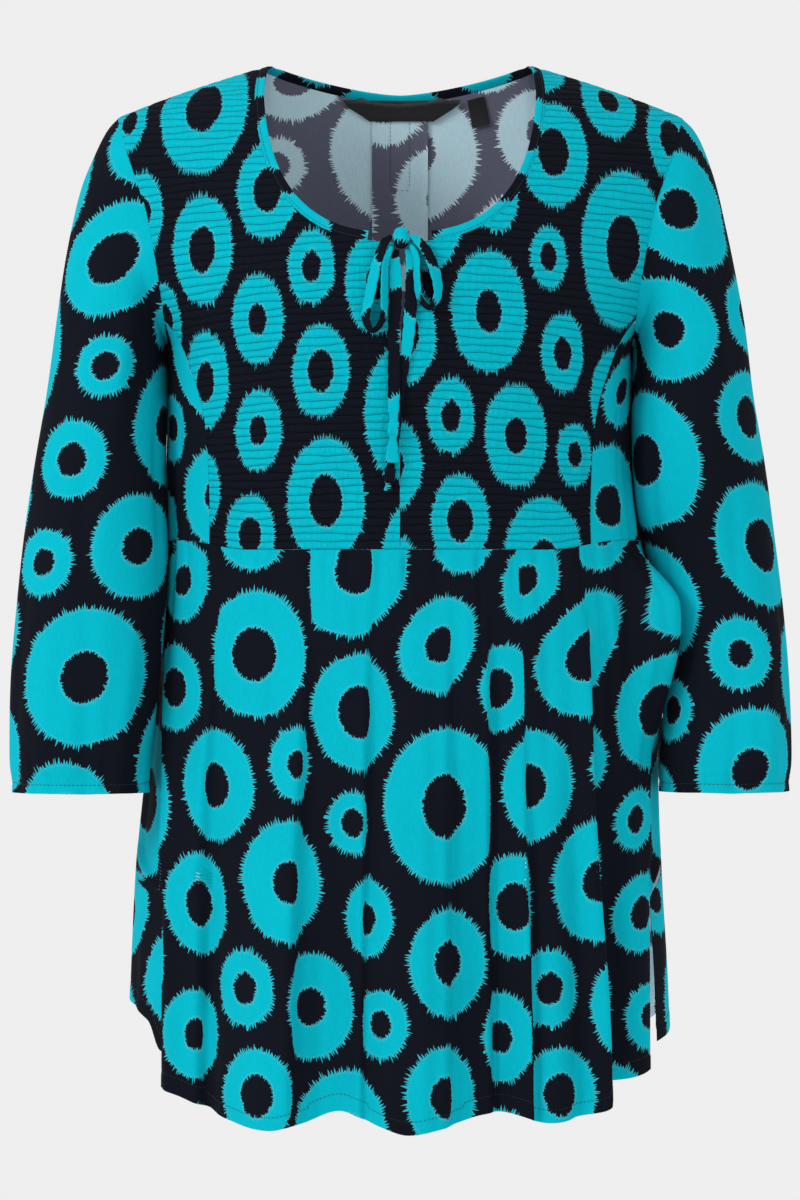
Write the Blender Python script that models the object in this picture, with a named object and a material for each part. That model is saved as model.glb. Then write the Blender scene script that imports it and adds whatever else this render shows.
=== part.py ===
"""Smock blouse: a hollow, worn-form garment of thin cloth walls, in metres with +Z up.

The front faces -Y and +X is to the right in a front view.  The origin is at the height of the neck
points, midway between the shoulders.  Every cloth piece is a wall of constant thickness.  Its outer
face is worked out from the body's sections and from short tables of folds, and its inner face is the
outer one moved inwards.  Neighbouring pieces stay SEAM_GAP apart.
"""

import math

import bmesh
import bpy
import numpy as np
from mathutils import Vector
from mathutils.bvhtree import BVHTree

# ----------------------------------------------------------------------------- driving sizes
CLOTH = 0.0015  # wall thickness of the cloth
SEAM_GAP = 0.0003  # clearance between neighbouring pieces

NECK_POINT_X = 0.0968  # where the shoulder seam meets the neck opening
NECK_POINT_Z = 0.0025
SHOULDER_SLOPE = 0.27  # drop of the shoulder line per unit across, at the neck point
SHOULDER_CURVE = 0.60  # and its growth towards the tip, per square metre
SHOULDER_TIP_X = 0.2115
SHOULDER_REACH = SHOULDER_TIP_X - NECK_POINT_X
SHOULDER_TIP_Z = NECK_POINT_Z - SHOULDER_SLOPE * SHOULDER_REACH - SHOULDER_CURVE * SHOULDER_REACH**2
NECK_RIDGE = 0.030  # how far the line that the body's depth starts from rises towards the nape
FRONT_ROUND = 0.20  # length below the shoulder line over which the front reaches its full depth
BACK_ROUND = 0.16
SECTION_POWER = 0.425  # flatness of the body's cross-section

BINDING_WIDTH = 0.007
BINDING_PROUD = 0.0004  # how far the binding stands off the cloth on each side
BINDING_TURN = 0.0007  # rounding of its folded edge
BINDING_EASE_OVER = 0.012  # length each side of the shoulder seam where it stands off a little more
NECK_FULLNESS = 2.6  # exponent of the front neck curve
NECK_OPENING_HALF = 0.1010
NECK_OPENING_DROP = 0.1300
NECK_TAPER = 0.030  # length below the neck point over which the opening narrows
BACK_NECK_Z = -0.0118
BACK_NECK_POWER = 1.5

EMPIRE_Z = -0.3605  # raised waist seam at the centre
EMPIRE_RISE = 0.0075  # how much higher that seam is at the side
EMPIRE_RISE_FROM = 0.11
EMPIRE_RISE_OVER = 0.055
UNDERARM_Z = -0.210
PANEL_TOP_Z = -0.1820
PANEL_TOP_EASE = 1.5  # seam gaps by which the panel's narrow top stays further from the yoke

SMOCK_PITCH = 0.00575  # distance between two rows of elastic thread
SMOCK_RISE = 0.0009  # height of the puff between two rows
SMOCK_REFERENCE_X = 0.112  # the pitch is measured along the cloth at this distance from the centre
SMOCK_TOP_Z = -0.0006
SMOCK_DROOP = 0.010  # how far a row sinks towards the side at mid-yoke
SMOCK_DROOP_HALF = 0.17

VENT_TOP_Z = -0.575
VENT_TURN = 0.045  # length below the vent's top over which the panels draw apart
VENT_ANGLES = {"front": (58.6, 66.0), "back": (123.0, 107.0)}  # side edges at the hem, left and right
VENT_TUCK = 0.0055  # how far the back's side edges lie inside the front
VENT_TUCK_ANGLES = (98.0, 114.0)  # where round the section that tuck starts and is full

PLEAT_HALF = 0.0215  # half width of the pleat's underlay at centre back
PLEAT_LENGTH = 0.215
PLEAT_THICK = 0.0010

ARMHOLE_EASE = 0.0011  # the sleeve's straight-sided top ring clears the curved armhole edge by this

# ----------------------------------------------------------------------------- tables
# Body sections: z, half width on the left and on the right, depth of the front and of the back.
BODY = {
    "z": (0.02, -0.040, -0.070, -0.106, -0.142, -0.182, -0.210, -0.250, -0.300, -0.345, -0.380,
          -0.450, -0.5415, -0.600, -0.690, -0.740, -0.790),
    "left": (0.262, 0.245, 0.235, 0.222, 0.207, 0.186, 0.1735, 0.1738, 0.1750, 0.1748, 0.1758,
             0.1818, 0.1925, 0.1980, 0.2020, 0.2035, 0.2045),
    "right": (0.262, 0.245, 0.235, 0.222, 0.207, 0.186, 0.1735, 0.1728, 0.1742, 0.1790, 0.1850,
              0.1925, 0.1940, 0.1960, 0.2010, 0.2025, 0.2035),
    "front": (0.108, 0.110, 0.111, 0.113, 0.116, 0.119, 0.121, 0.121, 0.117, 0.113, 0.113,
              0.116, 0.122, 0.126, 0.132, 0.136, 0.139),
    "back": (0.086, 0.088, 0.090, 0.092, 0.094, 0.095, 0.094, 0.091, 0.087, 0.085, 0.086,
             0.090, 0.098, 0.104, 0.113, 0.118, 0.122),
}

# Armhole edge in the front view: z and distance from the centre.
ARMHOLE = {
    "z": (SHOULDER_TIP_Z, -0.0625, -0.086, -0.110, -0.140, -0.165, -0.182, -0.210),
    "x": (SHOULDER_TIP_X, 0.2035, 0.1955, 0.1875, 0.1815, 0.1775, 0.1755, 0.1734),
}

# Seam between the smocked yoke and the side panel: z and distance from the centre.
YOKE_SEAM = {
    "z": (-0.190, -0.1965, -0.205, -0.2150, -0.230, -0.252, -0.268, -0.2965, -0.338, -0.362),
    "x": (0.1742, 0.1690, 0.1635, 0.1585, 0.1530, 0.1460, 0.1430, 0.1405, 0.1395, 0.1400),
}

# Neck slit: z and half width.
SLIT = {
    "z": (-0.120, -0.138, -0.150, -0.165, -0.185, -0.205, -0.215),
    "half": (0.0040, 0.0045, 0.0052, 0.0046, 0.0028, 0.0008, 0.00015),
}

# Folds: place round the section and half width in degrees, depth (+ outwards), the height where the
# fold starts, where it is full, and where it has faded again (below the hem if it doesn't).
FOLD_COLUMNS = ("angle", "spread", "depth", "start", "full", "fade")
FRONT_FOLDS = (
    (-62.0, 6.0, 0.0085, -0.500, -0.720, -2.0),
    (-46.0, 7.0, -0.0080, -0.440, -0.700, -2.0),
    (-27.0, 8.5, 0.0125, -0.400, -0.720, -2.0),
    (-12.5, 6.0, -0.0100, -0.440, -0.740, -2.0),
    (1.5, 8.5, 0.0120, -0.400, -0.740, -2.0),
    (20.5, 7.0, -0.0120, -0.420, -0.740, -2.0),
    (31.5, 6.5, 0.0125, -0.380, -0.720, -2.0),
    (45.0, 5.0, 0.0120, -0.480, -0.740, -2.0),
    (53.0, 5.0, -0.0130, -0.420, -0.740, -2.0),
    (73.0, 8.0, 0.0300, -0.352, -0.400, -0.530),
)
BACK_FOLDS = (
    (-84.0, 5.0, 0.0036, -0.205, -0.240, -0.345),
    (84.0, 5.0, 0.0040, -0.205, -0.240, -0.385),
    (-73.0, 8.0, 0.0050, -0.195, -0.260, -0.420),
    (73.0, 8.0, 0.0080, -0.195, -0.300, -0.620),
    (-66.0, 8.0, 0.0080, -0.420, -0.720, -2.0),
    (-48.0, 8.0, -0.0090, -0.380, -0.720, -2.0),
    (-31.0, 9.0, 0.0110, -0.340, -0.720, -2.0),
    (-15.0, 7.0, -0.0080, -0.300, -0.700, -2.0),
    (0.0, 5.0, -0.0100, -0.230, -0.600, -2.0),
    (14.0, 8.0, 0.0100, -0.300, -0.720, -2.0),
    (31.0, 8.0, -0.0090, -0.360, -0.720, -2.0),
    (47.0, 9.0, 0.0100, -0.360, -0.720, -2.0),
    (66.0, 8.0, -0.0060, -0.440, -0.720, -2.0),
)
# Hems: height of the hem at an angle round the section.
FRONT_HEM = {
    "angle": (-58.6, -41.0, -26.5, -21.0, -12.8, -3.8, 1.6, 7.2, 16.6, 21.9, 31.3, 42.0, 45.4, 46.4, 57.0, 66.0),
    "z": (-0.7550, -0.7715, -0.7805, -0.7765, -0.7672, -0.7772, -0.7825, -0.7795, -0.7708, -0.7685, -0.7760,
          -0.7700, -0.7655, -0.7525, -0.7490, -0.7425),
}
BACK_HEM = {
    "angle": (-123.0, -117.0, -110.0, -90.0, -75.0, -60.0, -45.0, -20.0, 0.0, 20.0, 45.0, 60.0, 72.0, 80.0,
              90.0, 107.0),
    "z": (-0.7330, -0.7290, -0.7080, -0.6940, -0.7010, -0.7290, -0.7520, -0.7670, -0.7640, -0.7680, -0.7600,
          -0.7430, -0.7150, -0.7070, -0.7135, -0.7240),
}
PANEL_FOLDS = (
    (63.0, 4.0, 0.0016, -0.215, -0.300, -2.0),
    (74.0, 4.0, -0.0014, -0.200, -0.270, -2.0),
)
GATHERS = 26  # small gathers across the front skirt, just below the waist seam
GATHER_DEPTH = 0.0011
GATHER_LENGTH = 0.075

# Sleeve sections: the outer and inner edge of each sleeve in the front view, half depth, how much of
# the armhole's own outline the section keeps, and how far the left and the right sleeve hang forward.
SLEEVE = {
    "outer_z": (-0.0455, -0.0605, -0.0860, -0.1130, -0.1490, -0.1940, -0.2450, -0.2950, -0.3450,
                -0.4000, -0.4550, -0.5120, -0.5300, -0.5395),
    "left_outer": (0.2192, 0.2270, 0.2376, 0.2444, 0.2510, 0.2568, 0.2632, 0.2714, 0.2787, 0.2844,
                   0.2885, 0.2890, 0.2872, 0.2870),
    "right_outer": (0.2203, 0.2280, 0.2366, 0.2428, 0.2500, 0.2574, 0.2634, 0.2722, 0.2797, 0.2868,
                    0.2910, 0.2918, 0.2900, 0.2897),
    "inner_z": (-0.2110, -0.2135, -0.2190, -0.2270, -0.2410, -0.2650, -0.2980, -0.3340, -0.3710,
                -0.4150, -0.4610, -0.5120, -0.5300, -0.5395),
    "left_inner": (0.1748, 0.1752, 0.1752, 0.1750, 0.1746, 0.1742, 0.1740, 0.1726, 0.1722, 0.1745,
                   0.1785, 0.1840, 0.1852, 0.1852),
    "right_inner": (0.1748, 0.1752, 0.1752, 0.1750, 0.1744, 0.1728, 0.1737, 0.1778, 0.1885, 0.1955,
                    0.1975, 0.1935, 0.1925, 0.1925),
    "depth": (0.0480, 0.0490, 0.0500, 0.0500, 0.0490, 0.0480, 0.0470, 0.0460, 0.0455, 0.0450,
              0.0450, 0.0445, 0.0415, 0.0420),
    "armhole": (0.85, 0.68, 0.50, 0.34, 0.20, 0.08, 0.0, 0.0, 0.0, 0.0, 0.0, 0.0, 0.0, 0.0),
    "left_forward": (0.0000, 0.0010, 0.0030, 0.0060, 0.0100, 0.0180, 0.0260, 0.0300, 0.0330, 0.0370,
                     0.0420, 0.0480, 0.0495, 0.0500),
    "right_forward": (0.0000, 0.0010, 0.0020, 0.0040, 0.0090, 0.0180, 0.0210, 0.0160, 0.0060, 0.0020,
                      0.0100, 0.0260, 0.0300, 0.0310),
}

# Neck label: share of its height from the top, and where it starts and ends across.
LABEL_Z = (-0.0158, -0.0309)
LABEL_ENDS = {"share": (0.0, 0.35, 0.75, 1.0), "left": (-0.0440, -0.0395, -0.0290, -0.0235),
              "right": (0.0470, 0.0420, 0.0320, 0.0258)}
LABEL_OFFSET = 0.0022  # from the back's inner face, past the pleat's underlay
LABEL_THICK = 0.0008
TAG_OFFSET = 0.0010
TAG_CENTRE = (0.0600, -0.0250)
TAG_SIZE = (0.0130, 0.0200)
TAG_TURN = math.radians(12.0)

# Ties: places (x, z) on the front and distance in front of the cloth, ribbon width and thickness.
KNOT_CENTRE = (0.0008, -0.1350)
KNOT_OUT = 0.0068
KNOT_RADII = (0.0062, 0.0048, 0.0080)
TIE_COLUMNS = ("x", "z", "out", "width", "thick", "roll")
LOOP_RIGHT = (
    (0.0078, -0.1345, 0.0068, 0.0030, 0.0030, 0.0),
    (0.0125, -0.1375, 0.0072, 0.0065, 0.0026, 20.0),
    (0.0205, -0.1480, 0.0078, 0.0095, 0.0020, 35.0),
    (0.0262, -0.1640, 0.0080, 0.0095, 0.0018, 40.0),
    (0.0272, -0.1780, 0.0080, 0.0090, 0.0018, 55.0),
    (0.0212, -0.1868, 0.0080, 0.0085, 0.0018, 75.0),
    (0.0140, -0.1785, 0.0080, 0.0080, 0.0018, 60.0),
    (0.0122, -0.1640, 0.0078, 0.0075, 0.0018, 55.0),
    (0.0118, -0.1500, 0.0070, 0.0060, 0.0022, 40.0),
    (0.0078, -0.1412, 0.0068, 0.0030, 0.0030, 0.0),
)
LOOP_LEFT = (
    (-0.0062, -0.1345, 0.0068, 0.0030, 0.0030, 0.0),
    (-0.0115, -0.1400, 0.0072, 0.0065, 0.0026, -20.0),
    (-0.0172, -0.1560, 0.0078, 0.0085, 0.0020, -30.0),
    (-0.0215, -0.1760, 0.0080, 0.0090, 0.0018, -35.0),
    (-0.0248, -0.1940, 0.0080, 0.0090, 0.0018, -50.0),
    (-0.0195, -0.2035, 0.0080, 0.0085, 0.0018, -75.0),
    (-0.0122, -0.1940, 0.0080, 0.0085, 0.0018, -60.0),
    (-0.0112, -0.1740, 0.0080, 0.0080, 0.0018, -50.0),
    (-0.0105, -0.1540, 0.0074, 0.0060, 0.0022, -40.0),
    (-0.0062, -0.1425, 0.0068, 0.0030, 0.0030, 0.0),
)
TAIL_LEFT = (
    (-0.0022, -0.1440, 0.0036, 0.0035, 0.0026, 0.0),
    (-0.0040, -0.1520, 0.0034, 0.0080, 0.0020, 0.0),
    (-0.0030, -0.1700, 0.0034, 0.0095, 0.0016, 0.0),
    (-0.0044, -0.2000, 0.0034, 0.0088, 0.0016, 0.0),
    (-0.0044, -0.2330, 0.0044, 0.0086, 0.0016, 0.0),
    (-0.0046, -0.2560, 0.0056, 0.0084, 0.0022, 0.0),
    (-0.0046, -0.2680, 0.0060, 0.0062, 0.0030, 0.0),
    (-0.0046, -0.2715, 0.0066, 0.0088, 0.0062, 0.0),
    (-0.0048, -0.2765, 0.0066, 0.0088, 0.0064, 0.0),
    (-0.0050, -0.2805, 0.0060, 0.0056, 0.0032, 0.0),
    (-0.0056, -0.2900, 0.0056, 0.0088, 0.0024, 0.0),
    (-0.0058, -0.2985, 0.0054, 0.0100, 0.0018, 0.0),
)
TAIL_RIGHT = (
    (0.0050, -0.1436, 0.0036, 0.0035, 0.0026, 0.0),
    (0.0082, -0.1520, 0.0034, 0.0080, 0.0020, 0.0),
    (0.0088, -0.1650, 0.0034, 0.0094, 0.0016, 0.0),
    (0.0076, -0.1860, 0.0034, 0.0092, 0.0016, 0.0),
    (0.0062, -0.2050, 0.0030, 0.0088, 0.0016, 0.0),
    (0.0030, -0.2250, 0.0020, 0.0086, 0.0014, 0.0),
    (-0.0010, -0.2500, 0.0018, 0.0084, 0.0014, 0.0),
    (-0.0040, -0.2780, 0.0018, 0.0080, 0.0014, 0.0),
    (-0.0064, -0.2985, 0.0020, 0.0056, 0.0018, 0.0),
    (-0.0072, -0.3045, 0.0042, 0.0082, 0.0062, 0.0),
    (-0.0076, -0.3095, 0.0042, 0.0080, 0.0060, 0.0),
    (-0.0080, -0.3135, 0.0030, 0.0050, 0.0030, 0.0),
    (-0.0086, -0.3185, 0.0028, 0.0066, 0.0020, 0.0),
)

# Mesh densities.
YOKE_COLUMNS = 7
YOKE_INNER_SPACING = 0.012  # the yoke's inner face has fewer rows than its smocked outer face
PANEL_COLUMNS, PANEL_ROWS = 5, 18
SKIRT_COLUMNS, SKIRT_ROWS = 54, 11
BACK_NECK_COLUMNS, BACK_SIDE_COLUMNS, BACK_TOP_ROWS, BACK_BODY_ROWS = 16, 9, 6, 12
SLEEVE_COLUMNS = 22
BINDING_SPACING = 0.010  # the binding skips rows of the yoke that lie closer than this
RIBBON_STEPS = 2

# Colours (linear) and roughness.
TURQUOISE = (0.004, 0.50, 0.58, 1.0)
TURQUOISE_DEEP = (0.003, 0.44, 0.53, 1.0)
MIDNIGHT = (0.008, 0.009, 0.018, 1.0)
LABEL_BLACK = (0.012, 0.012, 0.013, 1.0)


# ----------------------------------------------------------------------------- small helpers
def column(table, name, key, at):
    """Value of a table's column at a height, straight between its rows (rows run downwards)."""
    return np.interp(-np.asarray(at, float), -np.asarray(table[key], float), table[name])


def smooth(t):
    """Smooth step from 0 to 1."""
    t = np.clip(t, 0.0, 1.0)
    return t * t * (3.0 - 2.0 * t)


def shoulder_z(x):
    """Height of the shoulder line at a distance across, level between the neck points."""
    reach = np.maximum(np.abs(x) - NECK_POINT_X, 0.0)
    return NECK_POINT_Z - SHOULDER_SLOPE * reach - SHOULDER_CURVE * reach**2


def shoulder_x(z):
    """Distance across at which the shoulder line has a height."""
    drop = NECK_POINT_Z - z
    root = math.sqrt(SHOULDER_SLOPE**2 + 4.0 * SHOULDER_CURVE * drop)
    return NECK_POINT_X + (root - SHOULDER_SLOPE) / (2.0 * SHOULDER_CURVE)


def ridge_z(x):
    """Height from which the body's depth is counted: the shoulder line, raised between the neck points."""
    return shoulder_z(x) + NECK_RIDGE * np.maximum(1.0 - (x / NECK_POINT_X) ** 2, 0.0)


def half_width(x, z):
    """Half width of the body's section on the side of x."""
    return np.where(np.asarray(x) < 0.0, column(BODY, "left", "z", z), column(BODY, "right", "z", z))


def shoulder_round(below, length):
    """Share of the full depth reached at a distance below the shoulder line."""
    rest = 1.0 - np.clip(below / length, 0.0, 1.0)
    return np.sqrt(np.maximum(1.0 - rest * rest, 0.0))


def fold_depth(folds, angle, z):
    """Sum of the folds at an angle round the section (degrees) and a height."""
    total = np.zeros(np.broadcast(angle, z).shape)
    for row in folds:
        fold = dict(zip(FOLD_COLUMNS, row))
        grown = smooth((fold["start"] - z) / (fold["start"] - fold["full"]))
        faded = smooth((z - fold["fade"]) / (fold["full"] - fold["fade"])) if fold["fade"] > -1.0 else 1.0
        total = total + fold["depth"] * grown * faded * np.exp(-(((angle - fold["angle"]) / fold["spread"]) ** 2))
    return total


def cloth_point(side, x, z, push=0.0):
    """Points of the body's outer face: side -1 is the front and +1 the back, push moves them outwards."""
    x, z, in_front = np.asarray(x, float), np.asarray(z, float), np.asarray(side) < 0
    width = half_width(x, z)
    share = np.clip(x / width, -1.0, 1.0)
    depth = np.where(in_front, column(BODY, "front", "z", z), column(BODY, "back", "z", z))
    below = ridge_z(x) - z
    rounded = shoulder_round(below, np.where(in_front, FRONT_ROUND, BACK_ROUND))
    y = side * depth * rounded * (1.0 - share * share) ** SECTION_POWER
    across, along = share / width, side * np.sqrt(1.0 - share * share) / depth
    length = np.sqrt(across * across + along * along)
    return np.stack(
        [x + push * across / length, y + push * along / length + side * SEAM_GAP / 2.0, z + 0.0 * x], axis=-1
    )


def waist_z(x, level):
    """Height at x of a yoke row whose height at the centre is level."""
    mid = math.pi * np.clip((level - SHOULDER_TIP_Z) / (EMPIRE_Z - SHOULDER_TIP_Z), 0.0, 1.0)
    droop = SMOCK_DROOP * np.sin(mid) * (x / SMOCK_DROOP_HALF) ** 2
    rise = EMPIRE_RISE * smooth((np.abs(x) - EMPIRE_RISE_FROM) / EMPIRE_RISE_OVER)
    return level - droop + rise * smooth((-0.25 - level) / (-0.25 - EMPIRE_Z))


def neck_half(z, extra):
    """Half width of the front neck opening at a height, widened all round by extra."""
    half, drop = NECK_OPENING_HALF + extra, NECK_OPENING_DROP + extra
    share = np.clip((NECK_POINT_Z - z) / (drop + NECK_POINT_Z), 0.0, 1.0)
    wide = half * (1.0 - share**NECK_FULLNESS) ** (1.0 / NECK_FULLNESS)
    narrowed = half - NECK_POINT_X - extra
    return wide - narrowed * np.clip((z + NECK_TAPER) / (NECK_TAPER + NECK_POINT_Z), 0.0, 1.0) ** 2


def back_neck_z(x, extra):
    """Height of the back neck opening's edge at x, lowered by extra."""
    point_z = float(shoulder_z(NECK_POINT_X + extra))
    low = BACK_NECK_Z - extra
    return low + (point_z - low) * (np.abs(x) / (NECK_POINT_X + extra)) ** BACK_NECK_POWER


# ----------------------------------------------------------------------------- mesh building
def grid_normals(grid, closed=False):
    """Unit normals of a grid of points, by the cross product of its two directions."""
    if closed:
        across = np.roll(grid, -1, axis=1) - np.roll(grid, 1, axis=1)
    else:
        across = np.gradient(grid, axis=1)
    down = np.gradient(grid, axis=0)
    normals = np.cross(across, down)
    return normals / np.maximum(np.linalg.norm(normals, axis=-1, keepdims=True), 1e-12)


def outward(grid, normals, centre_x=0.0):
    """The normals turned to point away from the vertical axis through centre_x."""
    away = grid - np.array([centre_x, 0.0, 0.0])
    away[..., 2] = 0.0
    return normals if np.sum(normals * away) > 0.0 else -normals


def level_at_seam(grid, normals):
    """Normals with no part along Y where the grid meets the plane of the side and shoulder seams."""
    at_seam = np.abs(grid[..., 1]) < 2.0 * SEAM_GAP
    normals = normals.copy()
    normals[..., 1] = np.where(at_seam, 0.0, normals[..., 1])
    return normals / np.linalg.norm(normals, axis=-1, keepdims=True)


class Solid:
    """Vertices and faces of one closed wall, gathered piece by piece."""

    def __init__(self):
        self.points = []
        self.faces = []

    def add_grid(self, grid):
        """Adds a grid's points and returns their numbers in the same layout."""
        start = len(self.points)
        rows, columns = grid.shape[:2]
        self.points.extend(map(tuple, grid.reshape(-1, 3)))
        return np.arange(start, start + rows * columns).reshape(rows, columns)

    def add_quads(self, numbers, closed=False):
        """Adds the faces of a grid of point numbers, joined round if it is closed."""
        rows, columns = numbers.shape
        last = columns if closed else columns - 1
        for i in range(rows - 1):
            for j in range(last):
                k = (j + 1) % columns
                self.faces.append((numbers[i, j], numbers[i, k], numbers[i + 1, k], numbers[i + 1, j]))

    def pace(self, edge):
        """Share of an edge's length reached at each of its points."""
        points = np.array([self.points[k] for k in edge])
        along = np.concatenate([[0.0], np.cumsum(np.linalg.norm(np.diff(points, axis=0), axis=1))])
        return along / along[-1]

    def zip_edges(self, one, other):
        """Joins two edges of different density with triangles, walking along both at one pace."""
        pace_one, pace_other = self.pace(one), self.pace(other)
        i = j = 0
        while i < len(one) - 1 or j < len(other) - 1:
            step_one = j == len(other) - 1 or (i < len(one) - 1 and pace_one[i + 1] <= pace_other[j + 1])
            if step_one:
                self.faces.append((one[i], one[i + 1], other[j]))
                i += 1
            else:
                self.faces.append((one[i], other[j + 1], other[j]))
                j += 1

    def close_sheet(self, outer, inner):
        """Joins the four edges of an outer and an inner sheet."""
        self.zip_edges(outer[0], inner[0])
        self.zip_edges(outer[-1], inner[-1])
        self.zip_edges(outer[:, 0], inner[:, 0])
        self.zip_edges(outer[:, -1], inner[:, -1])

    def build(self, name, material, smooth_angle=40.0):
        """Makes the object, with all faces pointing out."""
        mesh = bpy.data.meshes.new(name)
        mesh.from_pydata(self.points, [], [tuple(int(v) for v in face) for face in self.faces])
        work = bmesh.new()
        work.from_mesh(mesh)
        bmesh.ops.triangulate(work, faces=work.faces)
        bmesh.ops.recalc_face_normals(work, faces=work.faces)
        work.to_mesh(mesh)
        work.free()
        mesh.shade_smooth()
        mesh.set_sharp_from_angle(angle=math.radians(smooth_angle))
        mesh.materials.append(material)
        piece = bpy.data.objects.new(name, mesh)
        bpy.context.collection.objects.link(piece)
        return piece


def thinned(edges, spacing):
    """Numbers of the rows to keep so that no edge moves on by more than spacing, the first and last included."""
    kept = [0]
    for row in range(1, len(edges) - 1):
        if np.linalg.norm(edges[row + 1] - edges[kept[-1]], axis=-1).max() > spacing:
            kept.append(row)
    return kept + [len(edges) - 1]


def sheet_wall(name, material, outer, normals, thickness=CLOTH, base=None, inner_spacing=0.0):
    """A wall between an outer grid and the base grid (or the outer one) moved inwards."""
    base = outer if base is None else base
    rows = thinned(base[:, [0, -1]], inner_spacing)
    inner = (base - normals * thickness)[rows]
    solid = Solid()
    outer_numbers = solid.add_grid(outer)
    inner_numbers = solid.add_grid(inner)
    solid.add_quads(outer_numbers)
    solid.add_quads(inner_numbers[::-1])
    solid.close_sheet(outer_numbers, inner_numbers)
    return solid.build(name, material)


def cloth_material(name, colour, roughness=0.8):
    """A plain cloth material."""
    material = bpy.data.materials.new(name)
    material.use_nodes = True
    shader = material.node_tree.nodes["Principled BSDF"]
    shader.inputs["Base Color"].default_value = colour
    shader.inputs["Roughness"].default_value = roughness
    shader.inputs["Metallic"].default_value = 0.0
    material.diffuse_color = colour
    return material


# ----------------------------------------------------------------------------- the pieces
def smock_levels():
    """Heights of the elastic rows and of the puffs between them, even along the cloth."""
    fine = np.linspace(SMOCK_TOP_Z, EMPIRE_Z, 1200)
    path = cloth_point(-1, np.full_like(fine, SMOCK_REFERENCE_X), fine)
    steps = np.linalg.norm(np.diff(path, axis=0), axis=1)
    along = np.concatenate([[0.0], np.cumsum(steps)])
    rows = int(round(along[-1] / SMOCK_PITCH))
    return np.interp(np.linspace(0.0, along[-1], 2 * rows + 1), along, fine)


def yoke_edges(level, sign):
    """Where a yoke row starts at the neck or the centre line and ends at the shoulder, armhole or seam."""
    extra = BINDING_WIDTH + SEAM_GAP
    start, end = NECK_OPENING_HALF, 0.16
    for _ in range(12):
        start_z, end_z = waist_z(start, level), waist_z(end, level)
        start = max(float(neck_half(start_z, extra)), float(column(SLIT, "half", "z", start_z)))
        if level > SHOULDER_TIP_Z:
            end = shoulder_x(level)
        elif end_z > YOKE_SEAM["z"][0]:
            end = float(column(ARMHOLE, "x", "z", end_z))
        else:
            end = float(column(YOKE_SEAM, "x", "z", end_z))
    return sign * start, sign * end


def spaced_across(start, end, z_level, count):
    """Distances across from start to end, even in angle round the section."""
    width = float(half_width(end, z_level))
    first, last = math.asin(start / width), math.asin(np.clip(end / width, -1.0, 1.0))
    return width * np.sin(np.linspace(first, last, count + 1))


def yoke_sheet(sign):
    """The face through the elastic rows of one half of the yoke, and its normals."""
    rows = []
    for level in smock_levels():
        start, end = yoke_edges(level, sign)
        across = spaced_across(start, end, level, YOKE_COLUMNS)
        rows.append(cloth_point(-1, across, waist_z(across, level)))
    base = np.array(rows)
    return base, level_at_seam(base, outward(base, grid_normals(base)))


def make_yoke(name, sheet, material):
    """One half of the smocked yoke: puffs between the elastic rows over a plain inner face."""
    base, normals = sheet
    rise = np.where(np.arange(len(base)) % 2 == 1, SMOCK_RISE, 0.0)[:, None, None]
    return sheet_wall(name, material, base + normals * rise, normals, base=base, inner_spacing=YOKE_INNER_SPACING)


def panel_outer_x(z, sign):
    """Outer edge of a side panel: the armhole, then the side seam."""
    side = half_width(sign * 0.1, z)
    return np.where(z > UNDERARM_Z, np.minimum(column(ARMHOLE, "x", "z", z), side), side)


def make_side_panel(name, sign, material):
    """The plain panel between the yoke's seam and the side seam."""
    rows = []
    for t in np.linspace(0.0, 1.0, PANEL_ROWS + 1):
        level = PANEL_TOP_Z + (EMPIRE_Z - PANEL_TOP_Z) * t**1.25
        apart = (1.5 + PANEL_TOP_EASE * max(1.0 - 4.0 * t, 0.0)) * SEAM_GAP
        seam_z = level
        for _ in range(8):
            inner_x = float(column(YOKE_SEAM, "x", "z", seam_z)) + apart
            seam_z = float(waist_z(inner_x, level))
        outer_z = float(waist_z(0.17, level))
        outer_x = float(panel_outer_x(outer_z, sign))
        width = float(half_width(sign, outer_z))
        angles = np.linspace(math.asin(min(inner_x / width, 1.0)), math.asin(min(outer_x / width, 1.0)),
                             PANEL_COLUMNS + 1)
        across = width * np.sin(angles)
        z = waist_z(across, level)
        across = np.minimum(across, half_width(sign, z))
        push = fold_depth(PANEL_FOLDS, np.degrees(angles), z)
        rows.append(cloth_point(-1, sign * across, z, push * np.sin(np.linspace(0, math.pi, PANEL_COLUMNS + 1))))
    outer = np.array(rows)
    normals = level_at_seam(outer, outward(outer, grid_normals(outer)))
    return sheet_wall(name, material, outer, normals)


def vent_share(z):
    """How far the panels have drawn apart at a height, from 0 at the vent's top to 1."""
    return smooth((VENT_TOP_Z - z) / VENT_TURN)


def vent_angle(shares, z, panel):
    """Angle of the panel's side edge: at the side seam, then turned away from it below the vent's top."""
    left, right = VENT_ANGLES[panel]
    at_hem = np.where(shares < 0.0, left, right)
    return 90.0 + (at_hem - 90.0) * vent_share(z) ** (1.0 if panel == "front" else 2.0)


def section_point(side, angle, z, push):
    """A point of the body at an angle in degrees from the centre line, positive to the right."""
    shares = np.sin(np.radians(angle))
    facing = np.where(np.abs(angle) > 90.0, -side, side)
    return cloth_point(facing, shares * half_width(shares, z), z, push)


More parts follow.
